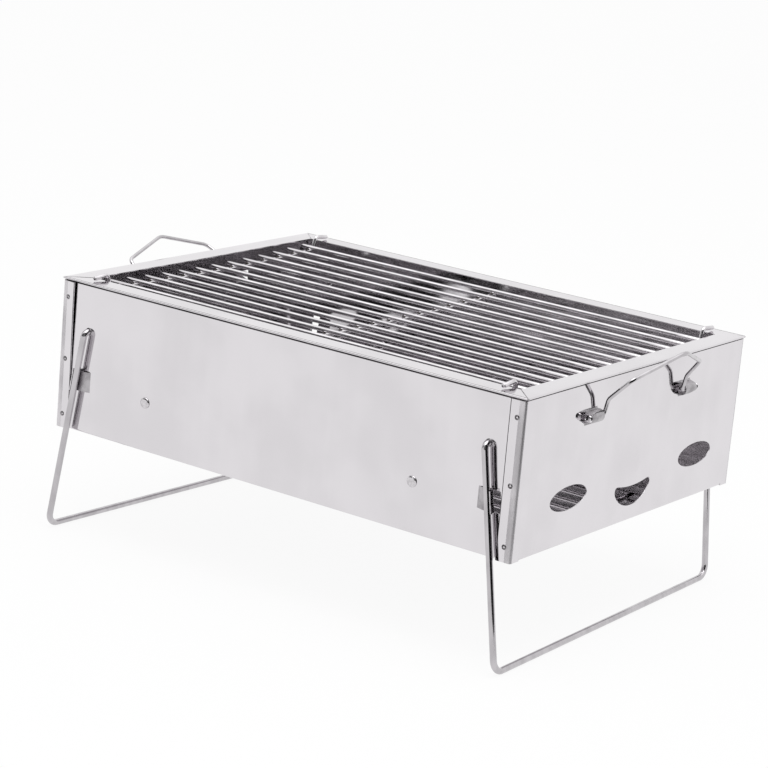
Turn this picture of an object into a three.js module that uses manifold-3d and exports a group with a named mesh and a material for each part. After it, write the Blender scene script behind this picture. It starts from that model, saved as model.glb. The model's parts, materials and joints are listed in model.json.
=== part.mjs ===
// Folding camping charcoal grill: a box of four folded sheet panels and a floor, two wire grates that lift
// out, two folding wire legs and two swinging wire handles.
// Millimetres, +Z up. The origin is on the ground under the middle of the box, X runs along its length and
// -Y is the front.
import * as THREE from "three";
import { mergeVertices } from "three/addons/utils/BufferGeometryUtils.js";
import Module from "manifold-3d";

const wasm = await Module();
wasm.setup();

// Fits
const seam = 0.3; // air between pieces that touch
const overrun = 1; // how far a cutter runs past what it cuts

// Box of sheet steel
const bodyLength = 350; // over the end rims
const bodyDepth = 250; // over the front and rear rims
const bodyHeight = 97; // bottom edge of the panels to the rim
const sheet = 0.6; // thickness of every sheet
const foldRadius = 1; // inside radius of a folded edge
const rimWidth = 14; // top edge folded inward
const rimNose = 1.2; // thickness of the rolled outer edge of the rim
const rimRoll = 2.4; // how far inward the rolled edge reaches
const mitreGap = 2.4; // open slit where two rims meet
const ledgeWidth = 8; // bottom edge folded inward, which carries the floor
const strapWidth = 10; // edge of an end panel folded round onto the long panel

// Air vents of an end panel: an oval near each end and a smile between them
const ventWidth = 40;
const ventHeight = 14.8;
const ventInset = 52.2; // end of the panel to the middle of an oval, before the shift
const ventShift = 4; // all three toward the rear
const ventDrop = 68.7; // rim to the middle of an oval
const smileWidth = 42.4;
const smileHeight = 15.2;
const smileNotch = 2.8; // sag of its upper edge
const smileDrop = 72.2; // rim to its two tips

// Wire legs
const legWire = 4; // diameter
const legReach = 133; // pivot to the middle of the floor bar
const legSplayDegrees = 9.3; // outward from upright
const legInset = 23.5; // end rim to the pivot
const legDrop = 31; // rim to the pivot
const legStandOff = 4; // face of the long panel to the middle of an arm
const legTail = 6; // wire inside the box
const legTopBend = 3.4; // radius at the middle of the wire
const legFootBend = 8;

// Clip lanced from the long panel beside each arm: a ramp under the arm and an ear that stops it
const clipDrop = 57; // rim to the top of the clip
const clipHeight = 13;
const clipRoot = 9; // middle of the arm to the root of the ramp
const clipRamp = 4; // length of the sloping part
const clipClear = 0.5; // ramp to the arm that passes over it
const clipEar = 5; // height of the ear over the panel
const clipWindow = 2.5; // open window outside the ear

// Wire handles
const handleWire = 2.4; // diameter
const handleHalfWidth = 45; // middle of the panel to a pivot of the handle
const handleTaper = 2.5; // how much nearer to the middle each corner stands
const handleDrop = 22; // rim to the pivot
const handleLower = 10; // pivot to the kink
const handleUpper = 20; // kink to the corner
const handlePeak = 14.5; // height of the roof-shaped grip
const handleLowerDegrees = 12; // lean outward from upright
const handleUpperDegrees = 48;
const handlePeakDegrees = 30;
const handleTailOut = 2; // wire past the outer end of its sleeve
const handleTurnBend = 2.4; // radii at the middle of the wire
const handleKinkBend = 6;
const handleCornerBend = 5;
const handlePeakBend = 14;

// Half-round sleeves pressed out of the end panels
const sleeveLength = 13.5;
const sleeveRadius = 3.9; // outside
const sleeveRise = 1.7; // face of the panel to the middle of the round part

// Cooking grate
const grillWire = 2.8; // diameter
const grillBars = 13;
const grillSideGap = 12.2; // edge of the rim to the middle of the first bar
const grillEndGap = 2; // edge of the rim to the end of a bar
const grillDrop = 2.7; // rim to the top of the bars
const grillEndInset = 5; // end of a bar to the end cross wire
const grillMidOverhang = 4; // middle cross wire past the last bar
const hookBase = 7; // edge of the rim to the foot of the rise
const hookRise = 4; // edge of the rim to the top of the rise
const hookTop = 3.5; // middle of the wire over the rim there
const hookReach = 8; // hook along the rim
const hookBend = 2.6;

// Charcoal grate
const coalWire = 2.4; // diameter
const coalBars = 15;
const coalSideGap = 8; // long panel to the middle of the first bar
const coalEndGap = 28.5; // end panel to the end of a bar
const coalCrossInset = 15; // end of a bar to an outer cross wire
const coalCrossOverhang = 2; // cross wire past the last bar

// Pins that carry the charcoal grate, each with a domed rivet head outside
const pinInset = 73; // end rim to a pin
const pinDrop = 66; // rim to the middle of a pin
const pinDiameter = 4;
const pinHeadDiameter = 7;
const pinHeadHeight = 1.2;
const pinCollarDiameter = 6.4;
const pinCollarHeight = 0.8;
const pinLength = 10.5; // inside the box

// Small rivets that join the folded edges of the end panels to the long panels
const cornerRivetDrops = [12, 52, 88]; // rim to each rivet
const cornerRivetHead = 3.2;
const cornerRivetShank = 1.8;
const cornerRivetHeight = 0.5;

// Facets
const wireSides = 12;
const rodSides = 10;
const holeSides = 20;
const bendSteps = 5;
const domeSteps = 4;
const curveSteps = 7;

// Derived places
const toRadians = Math.PI / 180;
const quarterTurn = Math.PI / 2;
const splay = legSplayDegrees * toRadians;
const legRadius = legWire / 2;
const pivotHeight = legRadius + legReach * Math.cos(splay);
const rimHeight = pivotHeight + legDrop;
const bottomHeight = rimHeight - bodyHeight;
const wallSetback = sheet + seam; // rim edge to the face of the wall under it
const longFace = bodyDepth / 2 - wallSetback; // outer face of the long panels
const endFace = bodyLength / 2 - wallSetback; // outer face of the end panels
const wallTop = rimHeight - rimNose - seam;
const pivotX = bodyLength / 2 - legInset;
const armY = longFace + legStandOff;
const grillRadius = grillWire / 2;
const grillLength = bodyLength - 2 * (rimWidth + grillEndGap);
const grillSpan = bodyDepth - 2 * (rimWidth + grillSideGap); // first bar to last
const grillBarZ = rimHeight - grillDrop - grillRadius;
const grillCrossZ = grillBarZ - grillWire - seam;
const coalRadius = coalWire / 2;
const coalLength = 2 * (endFace - sheet - coalEndGap);
const coalSpan = 2 * (longFace - sheet - coalSideGap);
const pinX = bodyLength / 2 - pinInset;
const pinZ = rimHeight - pinDrop;
const coalBarZ = pinZ + pinDiameter / 2 + seam + coalRadius;
const coalCrossZ = coalBarZ - coalWire - seam;
const sleeveBore = sleeveRadius - sheet;
const handleRadius = handleWire / 2;
const handleZ = rimHeight - handleDrop;
const handleX = endFace + sleeveRise + sleeveBore - seam - handleRadius;
const sleeveStart = handleHalfWidth + handleRadius + seam;

// Finishes
const sheetSteel = new THREE.MeshStandardMaterial({ color: 0xd3d2d5, roughness: 0.12, metalness: 1 });
const innerSteel = new THREE.MeshStandardMaterial({ color: 0xb9b8bb, roughness: 0.18, metalness: 1 });
const brightWire = new THREE.MeshStandardMaterial({ color: 0xe2e1e4, roughness: 0.08, metalness: 1 });
const rivetSteel = new THREE.MeshStandardMaterial({ color: 0xc6c5c8, roughness: 0.2, metalness: 1 });

// A closed geometry as a solid, for cutting and joining
function toSolid(geometry) {
  const bare = geometry.clone();
  bare.deleteAttribute("normal");
  bare.deleteAttribute("uv");
  const merged = mergeVertices(bare);
  const triVerts = new Uint32Array(merged.index.array);
  const vertProperties = merged.attributes.position.array;
  return new wasm.Manifold(new wasm.Mesh({ numProp: 3, vertProperties, triVerts }));
}

// A solid as a geometry again
function toGeometry(solid) {
  const mesh = solid.getMesh();
  const geometry = new THREE.BufferGeometry();
  geometry.setAttribute("position", new THREE.BufferAttribute(mesh.vertProperties, 3));
  geometry.setIndex(new THREE.BufferAttribute(mesh.triVerts, 1));
  geometry.computeVertexNormals();
  return geometry;
}

// A closed outline through points given as [u, v]
function outline(points) {
  return new THREE.Shape(points.map(([u, v]) => new THREE.Vector2(u, v)));
}

// An oval outline round a middle
function oval(u, v, halfWidth, halfHeight, sides) {
  const points = [];
  for (let i = 0; i < sides; i += 1) {
    const angle = (i / sides) * 2 * Math.PI;
    points.push([u + halfWidth * Math.cos(angle), v + halfHeight * Math.sin(angle)]);
  }
  return outline(points);
}

// A round outline, for a hole
function disc(u, v, radius) {
  return oval(u, v, radius, radius, holeSides);
}

function extrude(shape, depth) {
  return new THREE.ExtrudeGeometry(shape, { depth, bevelEnabled: false });
}

// An outline in X and Y, from height low to height high
function prismUp(shape, low, high) {
  return toSolid(extrude(shape, high - low).translate(0, 0, low));
}

// An outline in X and Z, from low to high along Y
function prismAcross(shape, low, high) {
  return toSolid(extrude(shape, high - low).rotateX(quarterTurn).translate(0, high, 0));
}

// An outline in Y and Z, from low to high along X
function prismAlong(shape, low, high) {
  const geometry = extrude(shape, high - low).rotateX(quarterTurn).rotateZ(quarterTurn);
  return toSolid(geometry.translate(low, 0, 0));
}

function block(low, high) {
  const size = new THREE.Vector3().subVectors(high, low);
  const middle = new THREE.Vector3().addVectors(high, low).multiplyScalar(0.5);
  return toSolid(new THREE.BoxGeometry(size.x, size.y, size.z).translate(middle.x, middle.y, middle.z));
}

// A bent wire as a curve whose steps fall on the ends of its straight runs and round its bends
class WirePath extends THREE.Curve {
  constructor(corners, radii) {
    super();
    this.stations = [corners[0]];
    for (let i = 1; i < corners.length - 1; i += 1) {
      this.addBend(corners[i - 1], corners[i], corners[i + 1], radii[i - 1]);
    }
    this.stations.push(corners[corners.length - 1]);
  }

  addBend(before, corner, after, radius) {
    const arriving = new THREE.Vector3().subVectors(corner, before).normalize();
    const leaving = new THREE.Vector3().subVectors(after, corner).normalize();
    const turn = arriving.angleTo(leaving);
    const inward = leaving.clone().addScaledVector(arriving, -Math.cos(turn)).normalize();
    const start = corner.clone().addScaledVector(arriving, -radius * Math.tan(turn / 2));
    for (let step = 0; step <= bendSteps; step += 1) {
      const angle = (turn * step) / bendSteps;
      const point = start.clone().addScaledVector(arriving, radius * Math.sin(angle));
      this.stations.push(point.addScaledVector(inward, radius * (1 - Math.cos(angle))));
    }
  }

  get steps() {
    return this.stations.length - 1;
  }

  getPoint(t, target = new THREE.Vector3()) {
    return target.copy(this.stations[Math.round(t * this.steps)]);
  }

  getPointAt(u, target) {
    return this.getPoint(u, target);
  }

  getTangentAt(u, target = new THREE.Vector3()) {
    const here = Math.round(u * this.steps);
    const point = this.stations[here];
    const behind = new THREE.Vector3().subVectors(point, this.stations[Math.max(here - 1, 0)]).normalize();
    const ahead = new THREE.Vector3().subVectors(this.stations[Math.min(here + 1, this.steps)], point);
    return target.addVectors(behind, ahead.normalize()).normalize();
  }
}

// A round wire bent at each inner corner with its own radius
function bentWire(corners, radii, diameter) {
  const section = oval(0, 0, diameter / 2, diameter / 2, wireSides);
  const path = new WirePath(corners, radii);
  return new THREE.ExtrudeGeometry(section, { steps: path.steps, extrudePath: path, bevelEnabled: false });
}

// Points along an arc from one angle to another
function arcPoints(u, v, radius, from, to, steps) {
  const points = [];
  for (let i = 0; i <= steps; i += 1) {
    const angle = from + ((to - from) * i) / steps;
    points.push([u + radius * Math.cos(angle), v + radius * Math.sin(angle)]);
  }
  return points;
}

// Folded rim along X at the front edge of a box with the given length and depth, mitred at both ends
function rim(length, depth) {
  const edge = -depth / 2;
  const under = rimHeight - rimNose;
  const nose = rimNose / 2;
  const profile = outline([
    [edge + rimWidth, rimHeight],
    ...arcPoints(edge + nose, rimHeight - nose, nose, quarterTurn, 3 * quarterTurn, domeSteps),
    [edge + rimRoll, under],
    [edge + rimRoll, rimHeight - sheet],
    [edge + rimWidth, rimHeight - sheet],
  ]);
  let strip = prismAlong(profile, -length / 2, length / 2);
  const trim = mitreGap * Math.SQRT1_2;
  for (const side of [-1, 1]) {
    const cutter = outline([
      [side * (length / 2 - trim + overrun), edge - overrun],
      [side * (length / 2 + overrun), edge - overrun],
      [side * (length / 2 + overrun), edge + rimWidth + overrun],
      [side * (length / 2 - trim - rimWidth - overrun), edge + rimWidth + overrun],
    ]);
    strip = strip.subtract(prismUp(cutter, under - overrun, rimHeight + overrun));
  }
  return strip;
}

// Wall with its folded bottom ledge, its outer face at -face, joined to the rim over the middle part
function wallAndLedge(face, halfLength, neckHalfLength, ledgeHalfLength) {
  const fold = foldRadius + sheet;
  const foldY = -face + fold;
  const foldZ = bottomHeight + fold;
  const ledge = outline([
    [-face, foldZ + fold],
    ...arcPoints(foldY, foldZ, fold, 2 * quarterTurn, 3 * quarterTurn, domeSteps),
    [-face + ledgeWidth, bottomHeight],
    [-face + ledgeWidth, bottomHeight + sheet],
    ...arcPoints(foldY, foldZ, foldRadius, 3 * quarterTurn, 2 * quarterTurn, domeSteps),
    [-face + sheet, foldZ + fold],
  ]);
  const wall = block(
    new THREE.Vector3(-halfLength, -face, foldZ),
    new THREE.Vector3(halfLength, -face + sheet, wallTop),
  );
  const neck = block(
    new THREE.Vector3(-neckHalfLength, -face, wallTop - overrun),
    new THREE.Vector3(neckHalfLength, -face + sheet, rimHeight - sheet / 2),
  );
  return wall.add(neck).add(prismAlong(ledge, -ledgeHalfLength, ledgeHalfLength));
}

// Middle of a leg's arm along X at a height
function armX(height) {
  return pivotX + (pivotHeight - height) * Math.tan(splay);
}

// The clip on one side of a long panel: its open window, and the metal pressed out of it
function clip(side) {
  const top = rimHeight - clipDrop;
  const bottom = top - clipHeight;
  const armHalf = legRadius / Math.cos(splay);
  const root = armX((top + bottom) / 2) - clipRoot;
  const rise = legStandOff - legRadius - clipClear;
  const earIn = (height) => armX(height) + armHalf + seam;
  const earOut = (height) => earIn(height) + sheet;
  const window = outline([
    [side * root, top],
    [side * (earOut(top) + clipWindow), top],
    [side * (earOut(bottom) + clipWindow), bottom],
    [side * root, bottom],
  ]);
  const slope = outline([
    [side * (root - sheet), -longFace],
    [side * (root + clipRamp), -longFace - rise],
    [side * (root + clipRamp + sheet), -longFace - rise],
    [side * (root + clipRamp + sheet), -longFace - rise + sheet],
    [side * (root + clipRamp), -longFace - rise + sheet],
    [side * (root - sheet), -longFace + sheet],
  ]);
  const flat = outline([
    [side * (root + clipRamp), top],
    [side * earOut(top), top],
    [side * earOut(bottom), bottom],
    [side * (root + clipRamp), bottom],
  ]);
  const ear = outline([
    [side * earIn(top), top],
    [side * earOut(top), top],
    [side * earOut(bottom), bottom],
    [side * earIn(bottom), bottom],
  ]);
  const metal = prismUp(slope, bottom, top)
    .add(prismAcross(flat, -longFace - rise, -longFace - rise + sheet))
    .add(prismAcross(ear, -longFace - clipEar, -longFace - rise + sheet));
  return { window, metal };
}

// Front panel; the rear one is the same piece turned round
function longPanel() {
  const halfLength = endFace - sheet - seam;
  const ledgeHalf = halfLength - foldRadius;
  const neckHalf = bodyLength / 2 - rimWidth - mitreGap;
  let panel = wallAndLedge(longFace, halfLength, neckHalf, ledgeHalf).add(rim(bodyLength, bodyDepth));
  for (const side of [-1, 1]) {
    const rivetX = side * (endFace - strapWidth / 2);
    const { window, metal } = clip(side);
    const holes = [
      disc(side * pivotX, pivotHeight, legRadius + seam),
      disc(side * pinX, pinZ, pinDiameter / 2 + seam),
      ...cornerRivetDrops.map((drop) => disc(rivetX, rimHeight - drop, cornerRivetShank / 2 + seam)),
      window,
    ];
    for (const hole of holes) {
      panel = panel.subtract(prismAcross(hole, -longFace - overrun, -longFace + sheet + overrun));
    }
    panel = panel.add(metal);
  }
  return panel;
}

// The smile vent: half an oval below, and an upper edge that sags a little between the same two tips
function smile(shift) {
  const half = smileWidth / 2;
  const tips = rimHeight - smileDrop;
  const points = [];
  for (let i = 0; i <= holeSides; i += 1) {
    const angle = 2 * quarterTurn * (1 + i / holeSides);
    points.push([shift + half * Math.cos(angle), tips + smileHeight * Math.sin(angle)]);
  }
  const radius = (half * half + smileNotch * smileNotch) / (2 * smileNotch);
  const swing = Math.asin(half / radius);
  const middleZ = tips - smileNotch + radius;
  const upper = arcPoints(shift, middleZ, radius, swing - quarterTurn, -swing - quarterTurn, curveSteps);
  return outline([...points, ...upper.slice(1, -1)]);
}

// Oval vents and smile vent, in the frame of an end panel seen from outside
function ventShapes(shift) {
  const shapes = [smile(shift)];
  for (const side of [-1, 1]) {
    const u = side * (bodyDepth / 2 - ventInset) + shift;
    shapes.push(oval(u, rimHeight - ventDrop, ventWidth / 2, ventHeight / 2, holeSides));
  }
  return shapes;
}

// End panel with its outer face at -endFace, as if it were the front; each real one is turned a quarter
function endPanel(shift) {
  const fold = foldRadius + sheet;
  const half = bodyDepth / 2;
  const strapEnd = -endFace + strapWidth;
  const wrap = outline([
    [-half, strapEnd],
    ...arcPoints(-half + fold, -endFace + fold, fold, 2 * quarterTurn, 3 * quarterTurn, domeSteps),
    ...arcPoints(half - fold, -endFace + fold, fold, -quarterTurn, 0, domeSteps),
    [half, strapEnd],
    [half - sheet, strapEnd],
    ...arcPoints(half - fold, -endFace + fold, foldRadius, 0, -quarterTurn, domeSteps),
    ...arcPoints(-half + fold, -endFace + fold, foldRadius, 3 * quarterTurn, 2 * quarterTurn, domeSteps),
    [-half + sheet, strapEnd],
  ]);
  const ledgeHalf = longFace - ledgeWidth - seam;
  const neckHalf = half - rimWidth - mitreGap;
  let panel = prismUp(wrap, bottomHeight, wallTop)
    .add(wallAndLedge(endFace, ledgeHalf, neckHalf, ledgeHalf))
    .add(rim(bodyDepth, bodyLength));
  for (const shape of ventShapes(shift)) {
    panel = panel.subtract(prismAcross(shape, -endFace - overrun, -endFace + sheet + overrun));
  }
  for (const drop of cornerRivetDrops) {
    const hole = disc(-endFace + strapWidth / 2, rimHeight - drop, cornerRivetShank / 2 + seam);
    panel = panel.subtract(prismAlong(hole, -half - overrun, -half + sheet + overrun));
    panel = panel.subtract(prismAlong(hole, half - sheet - overrun, half + overrun));
  }
  for (const side of [-1, 1]) {
    const low = side < 0 ? -sleeveStart - sleeveLength : sleeveStart;
    const high = low + sleeveLength;
    const window = block(
      new THREE.Vector3(low, -endFace - overrun, handleZ - sleeveBore),
      new THREE.Vector3(high, -endFace + sheet + overrun, handleZ + sleeveBore),
    );
    const middleY = -endFace - sleeveRise;
    const inside = -endFace + sheet;
    const shell = outline([
      [inside, handleZ + sleeveRadius],
      ...arcPoints(middleY, handleZ, sleeveRadius, quarterTurn, 3 * quarterTurn, 2 * domeSteps),
      [inside, handleZ - sleeveRadius],
      [inside, handleZ - sleeveBore],
      ...arcPoints(middleY, handleZ, sleeveBore, 3 * quarterTurn, quarterTurn, 2 * domeSteps),
      [inside, handleZ + sleeveBore],
    ]);
    panel = panel.subtract(window).add(prismAlong(shell, low, high));
  }
  return panel;
}

// Floor sheet that lies on the four ledges
function floorSheet() {
  const halfX = endFace - sheet - foldRadius - seam;
  const halfY = longFace - sheet - foldRadius - seam;
  const low = bottomHeight + sheet + seam;
  return block(new THREE.Vector3(-halfX, -halfY, low), new THREE.Vector3(halfX, halfY, low + sheet));
}

// A rivet along Y: domed head outside, shank through the sheets, upset collar inside, and a pin past the
// collar where its length asks for one
function rivet({ head, headHeight, shank, grip, collar, collarHeight, length }) {
  const points = [];
  for (let i = 0; i <= domeSteps; i += 1) {
    const angle = (i / domeSteps) * quarterTurn;
    const out = -seam - headHeight * Math.cos(angle);
    points.push(new THREE.Vector2(i === 0 ? 0 : (head / 2) * Math.sin(angle), out));
  }
  points.push(new THREE.Vector2(shank / 2, -seam));
  points.push(new THREE.Vector2(shank / 2, grip + seam));
  points.push(new THREE.Vector2(collar / 2, grip + seam));
  points.push(new THREE.Vector2(collar / 2, grip + seam + collarHeight));
  if (length > seam + collarHeight) {
    points.push(new THREE.Vector2(shank / 2, grip + seam + collarHeight));
    points.push(new THREE.Vector2(shank / 2, grip + length));
    points.push(new THREE.Vector2(0, grip + length));
  } else {
    points.push(new THREE.Vector2(0, grip + seam + collarHeight));
  }
  return new THREE.LatheGeometry(points, wireSides);
}

// A leg on the +X side
function leg() {
  const footX = pivotX + legReach * Math.sin(splay);
  const tailY = longFace - sheet - legTail;
  const corners = [
    new THREE.Vector3(pivotX, -tailY, pivotHeight),
    new THREE.Vector3(pivotX, -armY, pivotHeight),
    new THREE.Vector3(footX, -armY, legRadius),
    new THREE.Vector3(footX, armY, legRadius),
    new THREE.Vector3(pivotX, armY, pivotHeight),
    new THREE.Vector3(pivotX, tailY, pivotHeight),
  ];
  return bentWire(corners, [legTopBend, legFootBend, legFootBend, legTopBend], legWire);
}

// A handle on the +X side
function handle() {
  const lower = handleLowerDegrees * toRadians;
  const upper = handleUpperDegrees * toRadians;
  const kinkX = handleX + handleLower * Math.sin(lower);
  const kinkZ = handleZ + handleLower * Math.cos(lower);
  const cornerX = kinkX + handleUpper * Math.sin(upper);
  const cornerZ = kinkZ + handleUpper * Math.cos(upper);
  const peakX = cornerX + handlePeak * Math.sin(handlePeakDegrees * toRadians);
  const peakZ = cornerZ + handlePeak * Math.cos(handlePeakDegrees * toRadians);
  const tailY = sleeveStart + sleeveLength + handleTailOut;
  const oneSide = (side) => [
    new THREE.Vector3(handleX, side * tailY, handleZ),
    new THREE.Vector3(handleX, side * handleHalfWidth, handleZ),
    new THREE.Vector3(kinkX, side * handleHalfWidth, kinkZ),
    new THREE.Vector3(cornerX, side * (handleHalfWidth - handleTaper), cornerZ),
  ];
  const peak = new THREE.Vector3(peakX, 0, peakZ);
  const corners = [...oneSide(-1), peak, ...oneSide(1).reverse()];
  const bends = [handleTurnBend, handleKinkBend, handleCornerBend];
  return bentWire(corners, [...bends, handlePeakBend, ...bends.reverse()], handleWire);
}

// An end cross wire of the cooking grate, whose two ends rise through the opening and hook over the rims
function hookedCrossWire(x) {
  const edge = bodyDepth / 2 - rimWidth;
  const oneSide = (side) => [
    new THREE.Vector3(x, side * (edge + hookReach), rimHeight + seam + grillRadius),
    new THREE.Vector3(x, side * (edge - hookRise), rimHeight + hookTop),
    new THREE.Vector3(x, side * (edge - hookBase), grillCrossZ),
  ];
  const corners = [...oneSide(-1), ...oneSide(1).reverse()];
  return bentWire(corners, [hookBend, hookBend, hookBend, hookBend], grillWire);
}

const grill = new THREE.Group();

function addPiece(name, geometry, material, turn = 0) {
  const mesh = new THREE.Mesh(geometry, material);
  mesh.name = name;
  mesh.rotation.z = turn;
  grill.add(mesh);
  return mesh;
}

// A straight rod along X or Y
function addRod(name, diameter, length, alongX, x, y, z) {
  const rod = new THREE.CylinderGeometry(diameter / 2, diameter / 2, length, rodSides);
  const mesh = addPiece(name, rod, brightWire);
  mesh.rotation.z = alongX ? quarterTurn : 0;
  mesh.position.set(x, y, z);
}

function numbered(name, index) {
  return `${name}_${String(index + 1).padStart(2, "0")}`;
}

// Sheet pieces
const longPiece = toGeometry(longPanel());
addPiece("front_panel", longPiece, sheetSteel);
addPiece("rear_panel", longPiece, sheetSteel, 2 * quarterTurn);
addPiece("right_end_panel", toGeometry(endPanel(ventShift)), sheetSteel, quarterTurn);
addPiece("left_end_panel", toGeometry(endPanel(-ventShift)), sheetSteel, -quarterTurn);
addPiece("floor_plate", toGeometry(floorSheet()), innerSteel);

// Legs and handles
addPiece("right_leg", leg(), brightWire);
addPiece("left_leg", leg(), brightWire, 2 * quarterTurn);
addPiece("right_handle", handle(), brightWire);
addPiece("left_handle", handle(), brightWire, 2 * quarterTurn);

// Cooking grate
for (let i = 0; i < grillBars; i += 1) {
  const y = (i / (grillBars - 1) - 1 / 2) * grillSpan;
  addRod(numbered("cooking_grate_bar", i), grillWire, grillLength, true, 0, y, grillBarZ);
}
const hookX = grillLength / 2 - grillEndInset;
addPiece("cooking_grate_cross_left", hookedCrossWire(-hookX), brightWire);
addPiece("cooking_grate_cross_right", hookedCrossWire(hookX), brightWire);
const grillMidLength = grillSpan + 2 * grillMidOverhang;
addRod("cooking_grate_cross_middle", grillWire, grillMidLength, false, 0, 0, grillCrossZ);

// Charcoal grate
for (let i = 0; i < coalBars; i += 1) {
  const y = (i / (coalBars - 1) - 1 / 2) * coalSpan;
  addRod(numbered("charcoal_grate_bar", i), coalWire, coalLength, true, 0, y, coalBarZ);
}
const coalCrossLength = coalSpan + 2 * coalCrossOverhang;
const coalCrosses = [["left", -1], ["middle", 0], ["right", 1]];
for (const [name, side] of coalCrosses) {
  const x = side * (coalLength / 2 - coalCrossInset);
  addRod(`charcoal_grate_cross_${name}`, coalWire, coalCrossLength, false, x, 0, coalCrossZ);
}

// Support pins and corner rivets, at the front and turned round to the rear
for (const [face, turn] of [["front", 0], ["rear", 2 * quarterTurn]]) {
  for (const side of [-1, 1]) {
    const worldSide = turn === 0 ? side : -side;
    const end = worldSide < 0 ? "left" : "right";
    const pin = rivet({
      head: pinHeadDiameter,
      headHeight: pinHeadHeight,
      shank: pinDiameter,
      grip: sheet,
      collar: pinCollarDiameter,
      collarHeight: pinCollarHeight,
      length: pinLength,
    });
    pin.translate(side * pinX, -longFace, pinZ);
    addPiece(`support_pin_${face}_${end}`, pin, rivetSteel, turn);
    cornerRivetDrops.forEach((drop, index) => {
      const small = rivet({
        head: cornerRivetHead,
        headHeight: cornerRivetHeight,
        shank: cornerRivetShank,
        grip: 2 * sheet + seam,
        collar: cornerRivetHead,
        collarHeight: cornerRivetHeight,
        length: 0,
      });
      small.translate(side * (endFace - strapWidth / 2), -bodyDepth / 2, rimHeight - drop);
      addPiece(numbered(`corner_rivet_${face}_${end}`, index), small, rivetSteel, turn);
    });
  }
}

export default grill;
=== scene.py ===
"""Folding camping charcoal grill: a box of folded stainless sheet, two lift-out wire grates, two folding wire
legs and two swinging wire handles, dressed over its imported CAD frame.

Sizes are in millimetres in the frame of the CAD and become metres where a mesh is made.
"""
import json
import logging
import math
from dataclasses import dataclass, field
from enum import Enum, IntEnum
from typing import Any, Callable, Sequence

import bmesh
import bpy
from mathutils import Matrix, Vector

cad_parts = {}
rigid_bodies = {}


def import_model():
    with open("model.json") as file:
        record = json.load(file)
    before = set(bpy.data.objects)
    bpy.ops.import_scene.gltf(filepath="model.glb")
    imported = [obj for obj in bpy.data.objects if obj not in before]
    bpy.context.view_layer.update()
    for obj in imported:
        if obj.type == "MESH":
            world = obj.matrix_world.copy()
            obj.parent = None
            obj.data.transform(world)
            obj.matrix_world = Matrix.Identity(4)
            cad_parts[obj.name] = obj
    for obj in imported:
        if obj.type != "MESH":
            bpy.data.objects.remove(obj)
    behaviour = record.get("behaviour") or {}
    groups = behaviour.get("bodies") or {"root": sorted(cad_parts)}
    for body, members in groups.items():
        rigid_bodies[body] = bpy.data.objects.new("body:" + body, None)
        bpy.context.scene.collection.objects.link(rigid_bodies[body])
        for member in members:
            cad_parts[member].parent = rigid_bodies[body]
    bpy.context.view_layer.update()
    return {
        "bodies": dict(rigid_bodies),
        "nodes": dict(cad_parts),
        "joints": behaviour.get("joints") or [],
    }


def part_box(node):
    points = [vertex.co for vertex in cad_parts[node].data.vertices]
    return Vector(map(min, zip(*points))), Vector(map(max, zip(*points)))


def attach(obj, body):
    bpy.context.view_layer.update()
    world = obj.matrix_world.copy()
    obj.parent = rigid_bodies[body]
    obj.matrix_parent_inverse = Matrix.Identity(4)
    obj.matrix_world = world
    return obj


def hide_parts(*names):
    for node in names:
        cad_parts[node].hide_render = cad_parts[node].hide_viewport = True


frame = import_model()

LOG = logging.getLogger("charcoal_grill")
MM = 0.001
SHEET = 0.6  # thickness of every sheet
SEAM = 0.3  # air the CAD leaves between pieces that touch
SMOOTH_BELOW = math.radians(34)  # edges sharper than this keep a crease
TINY = 1e-4
SLOPE_STEP = 1.0  # distance over which the slope of a wall is measured
ENDS = ((-1, "a"), (1, "b"))  # left and right end of a panel, seen from outside
PLACES = ("left", "middle", "right")  # of the three cross wires of a grate

Point2 = tuple[float, float]
Point3 = tuple[float, float, float]
Shape = tuple[list[Vector], list[list[int]]]  # points and faces
Surface = Callable[[float, float], tuple[Vector, Vector]]


# Small helpers


def linear(hex_colour: str) -> tuple[float, float, float, float]:
    """Turns an sRGB hex colour into the linear values that a shader takes.

    Args:
        hex_colour: Six hex digits, with or without a leading hash sign.

    Returns:
        Linear red, green and blue, and an alpha of 1.
    """
    digits = hex_colour.lstrip("#")
    channels = [int(digits[i : i + 2], 16) / 255 for i in (0, 2, 4)]
    values = [c / 12.92 if c <= 0.04045 else ((c + 0.055) / 1.055) ** 2.4 for c in channels]
    return values[0], values[1], values[2], 1.0


def empty_tree(block: bpy.types.Material | bpy.types.World) -> bpy.types.NodeTree:
    """Gives the emptied node tree of a new material or world.

    Args:
        block: The material or world.

    Returns:
        Its tree.
    """
    block.use_nodes = True
    block.node_tree.nodes.clear()
    return block.node_tree


def add_node(
    tree: bpy.types.NodeTree,
    kind: str,
    values: dict[str | int, Any] | None = None,
    links: dict[str | int, bpy.types.Node | bpy.types.NodeSocket] | None = None,
    **settings: Any,
) -> bpy.types.Node:
    """Adds a shader node with its settings, its socket values and its incoming links.

    Args:
        tree: The node tree it goes into.
        kind: The node's type name, after ShaderNode.
        values: Values of input sockets, by name or number.
        links: Sockets to join to its inputs, by name or number. A node stands for its first output.
        **settings: Properties of the node.

    Returns:
        The new node.
    """
    node = tree.nodes.new(f"ShaderNode{kind}")
    for key, value in settings.items():
        setattr(node, key, value)
    for key, value in (values or {}).items():
        node.inputs[key].default_value = value
    for key, source in (links or {}).items():
        socket = source.outputs[0] if isinstance(source, bpy.types.Node) else source
        tree.links.new(socket, node.inputs[key])
    return node


def smooth_step(share: float) -> float:
    """Eases a share from 0 to 1, with level ends."""
    held = min(max(share, 0.0), 1.0)
    return held * held * (3 - 2 * held)


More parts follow.
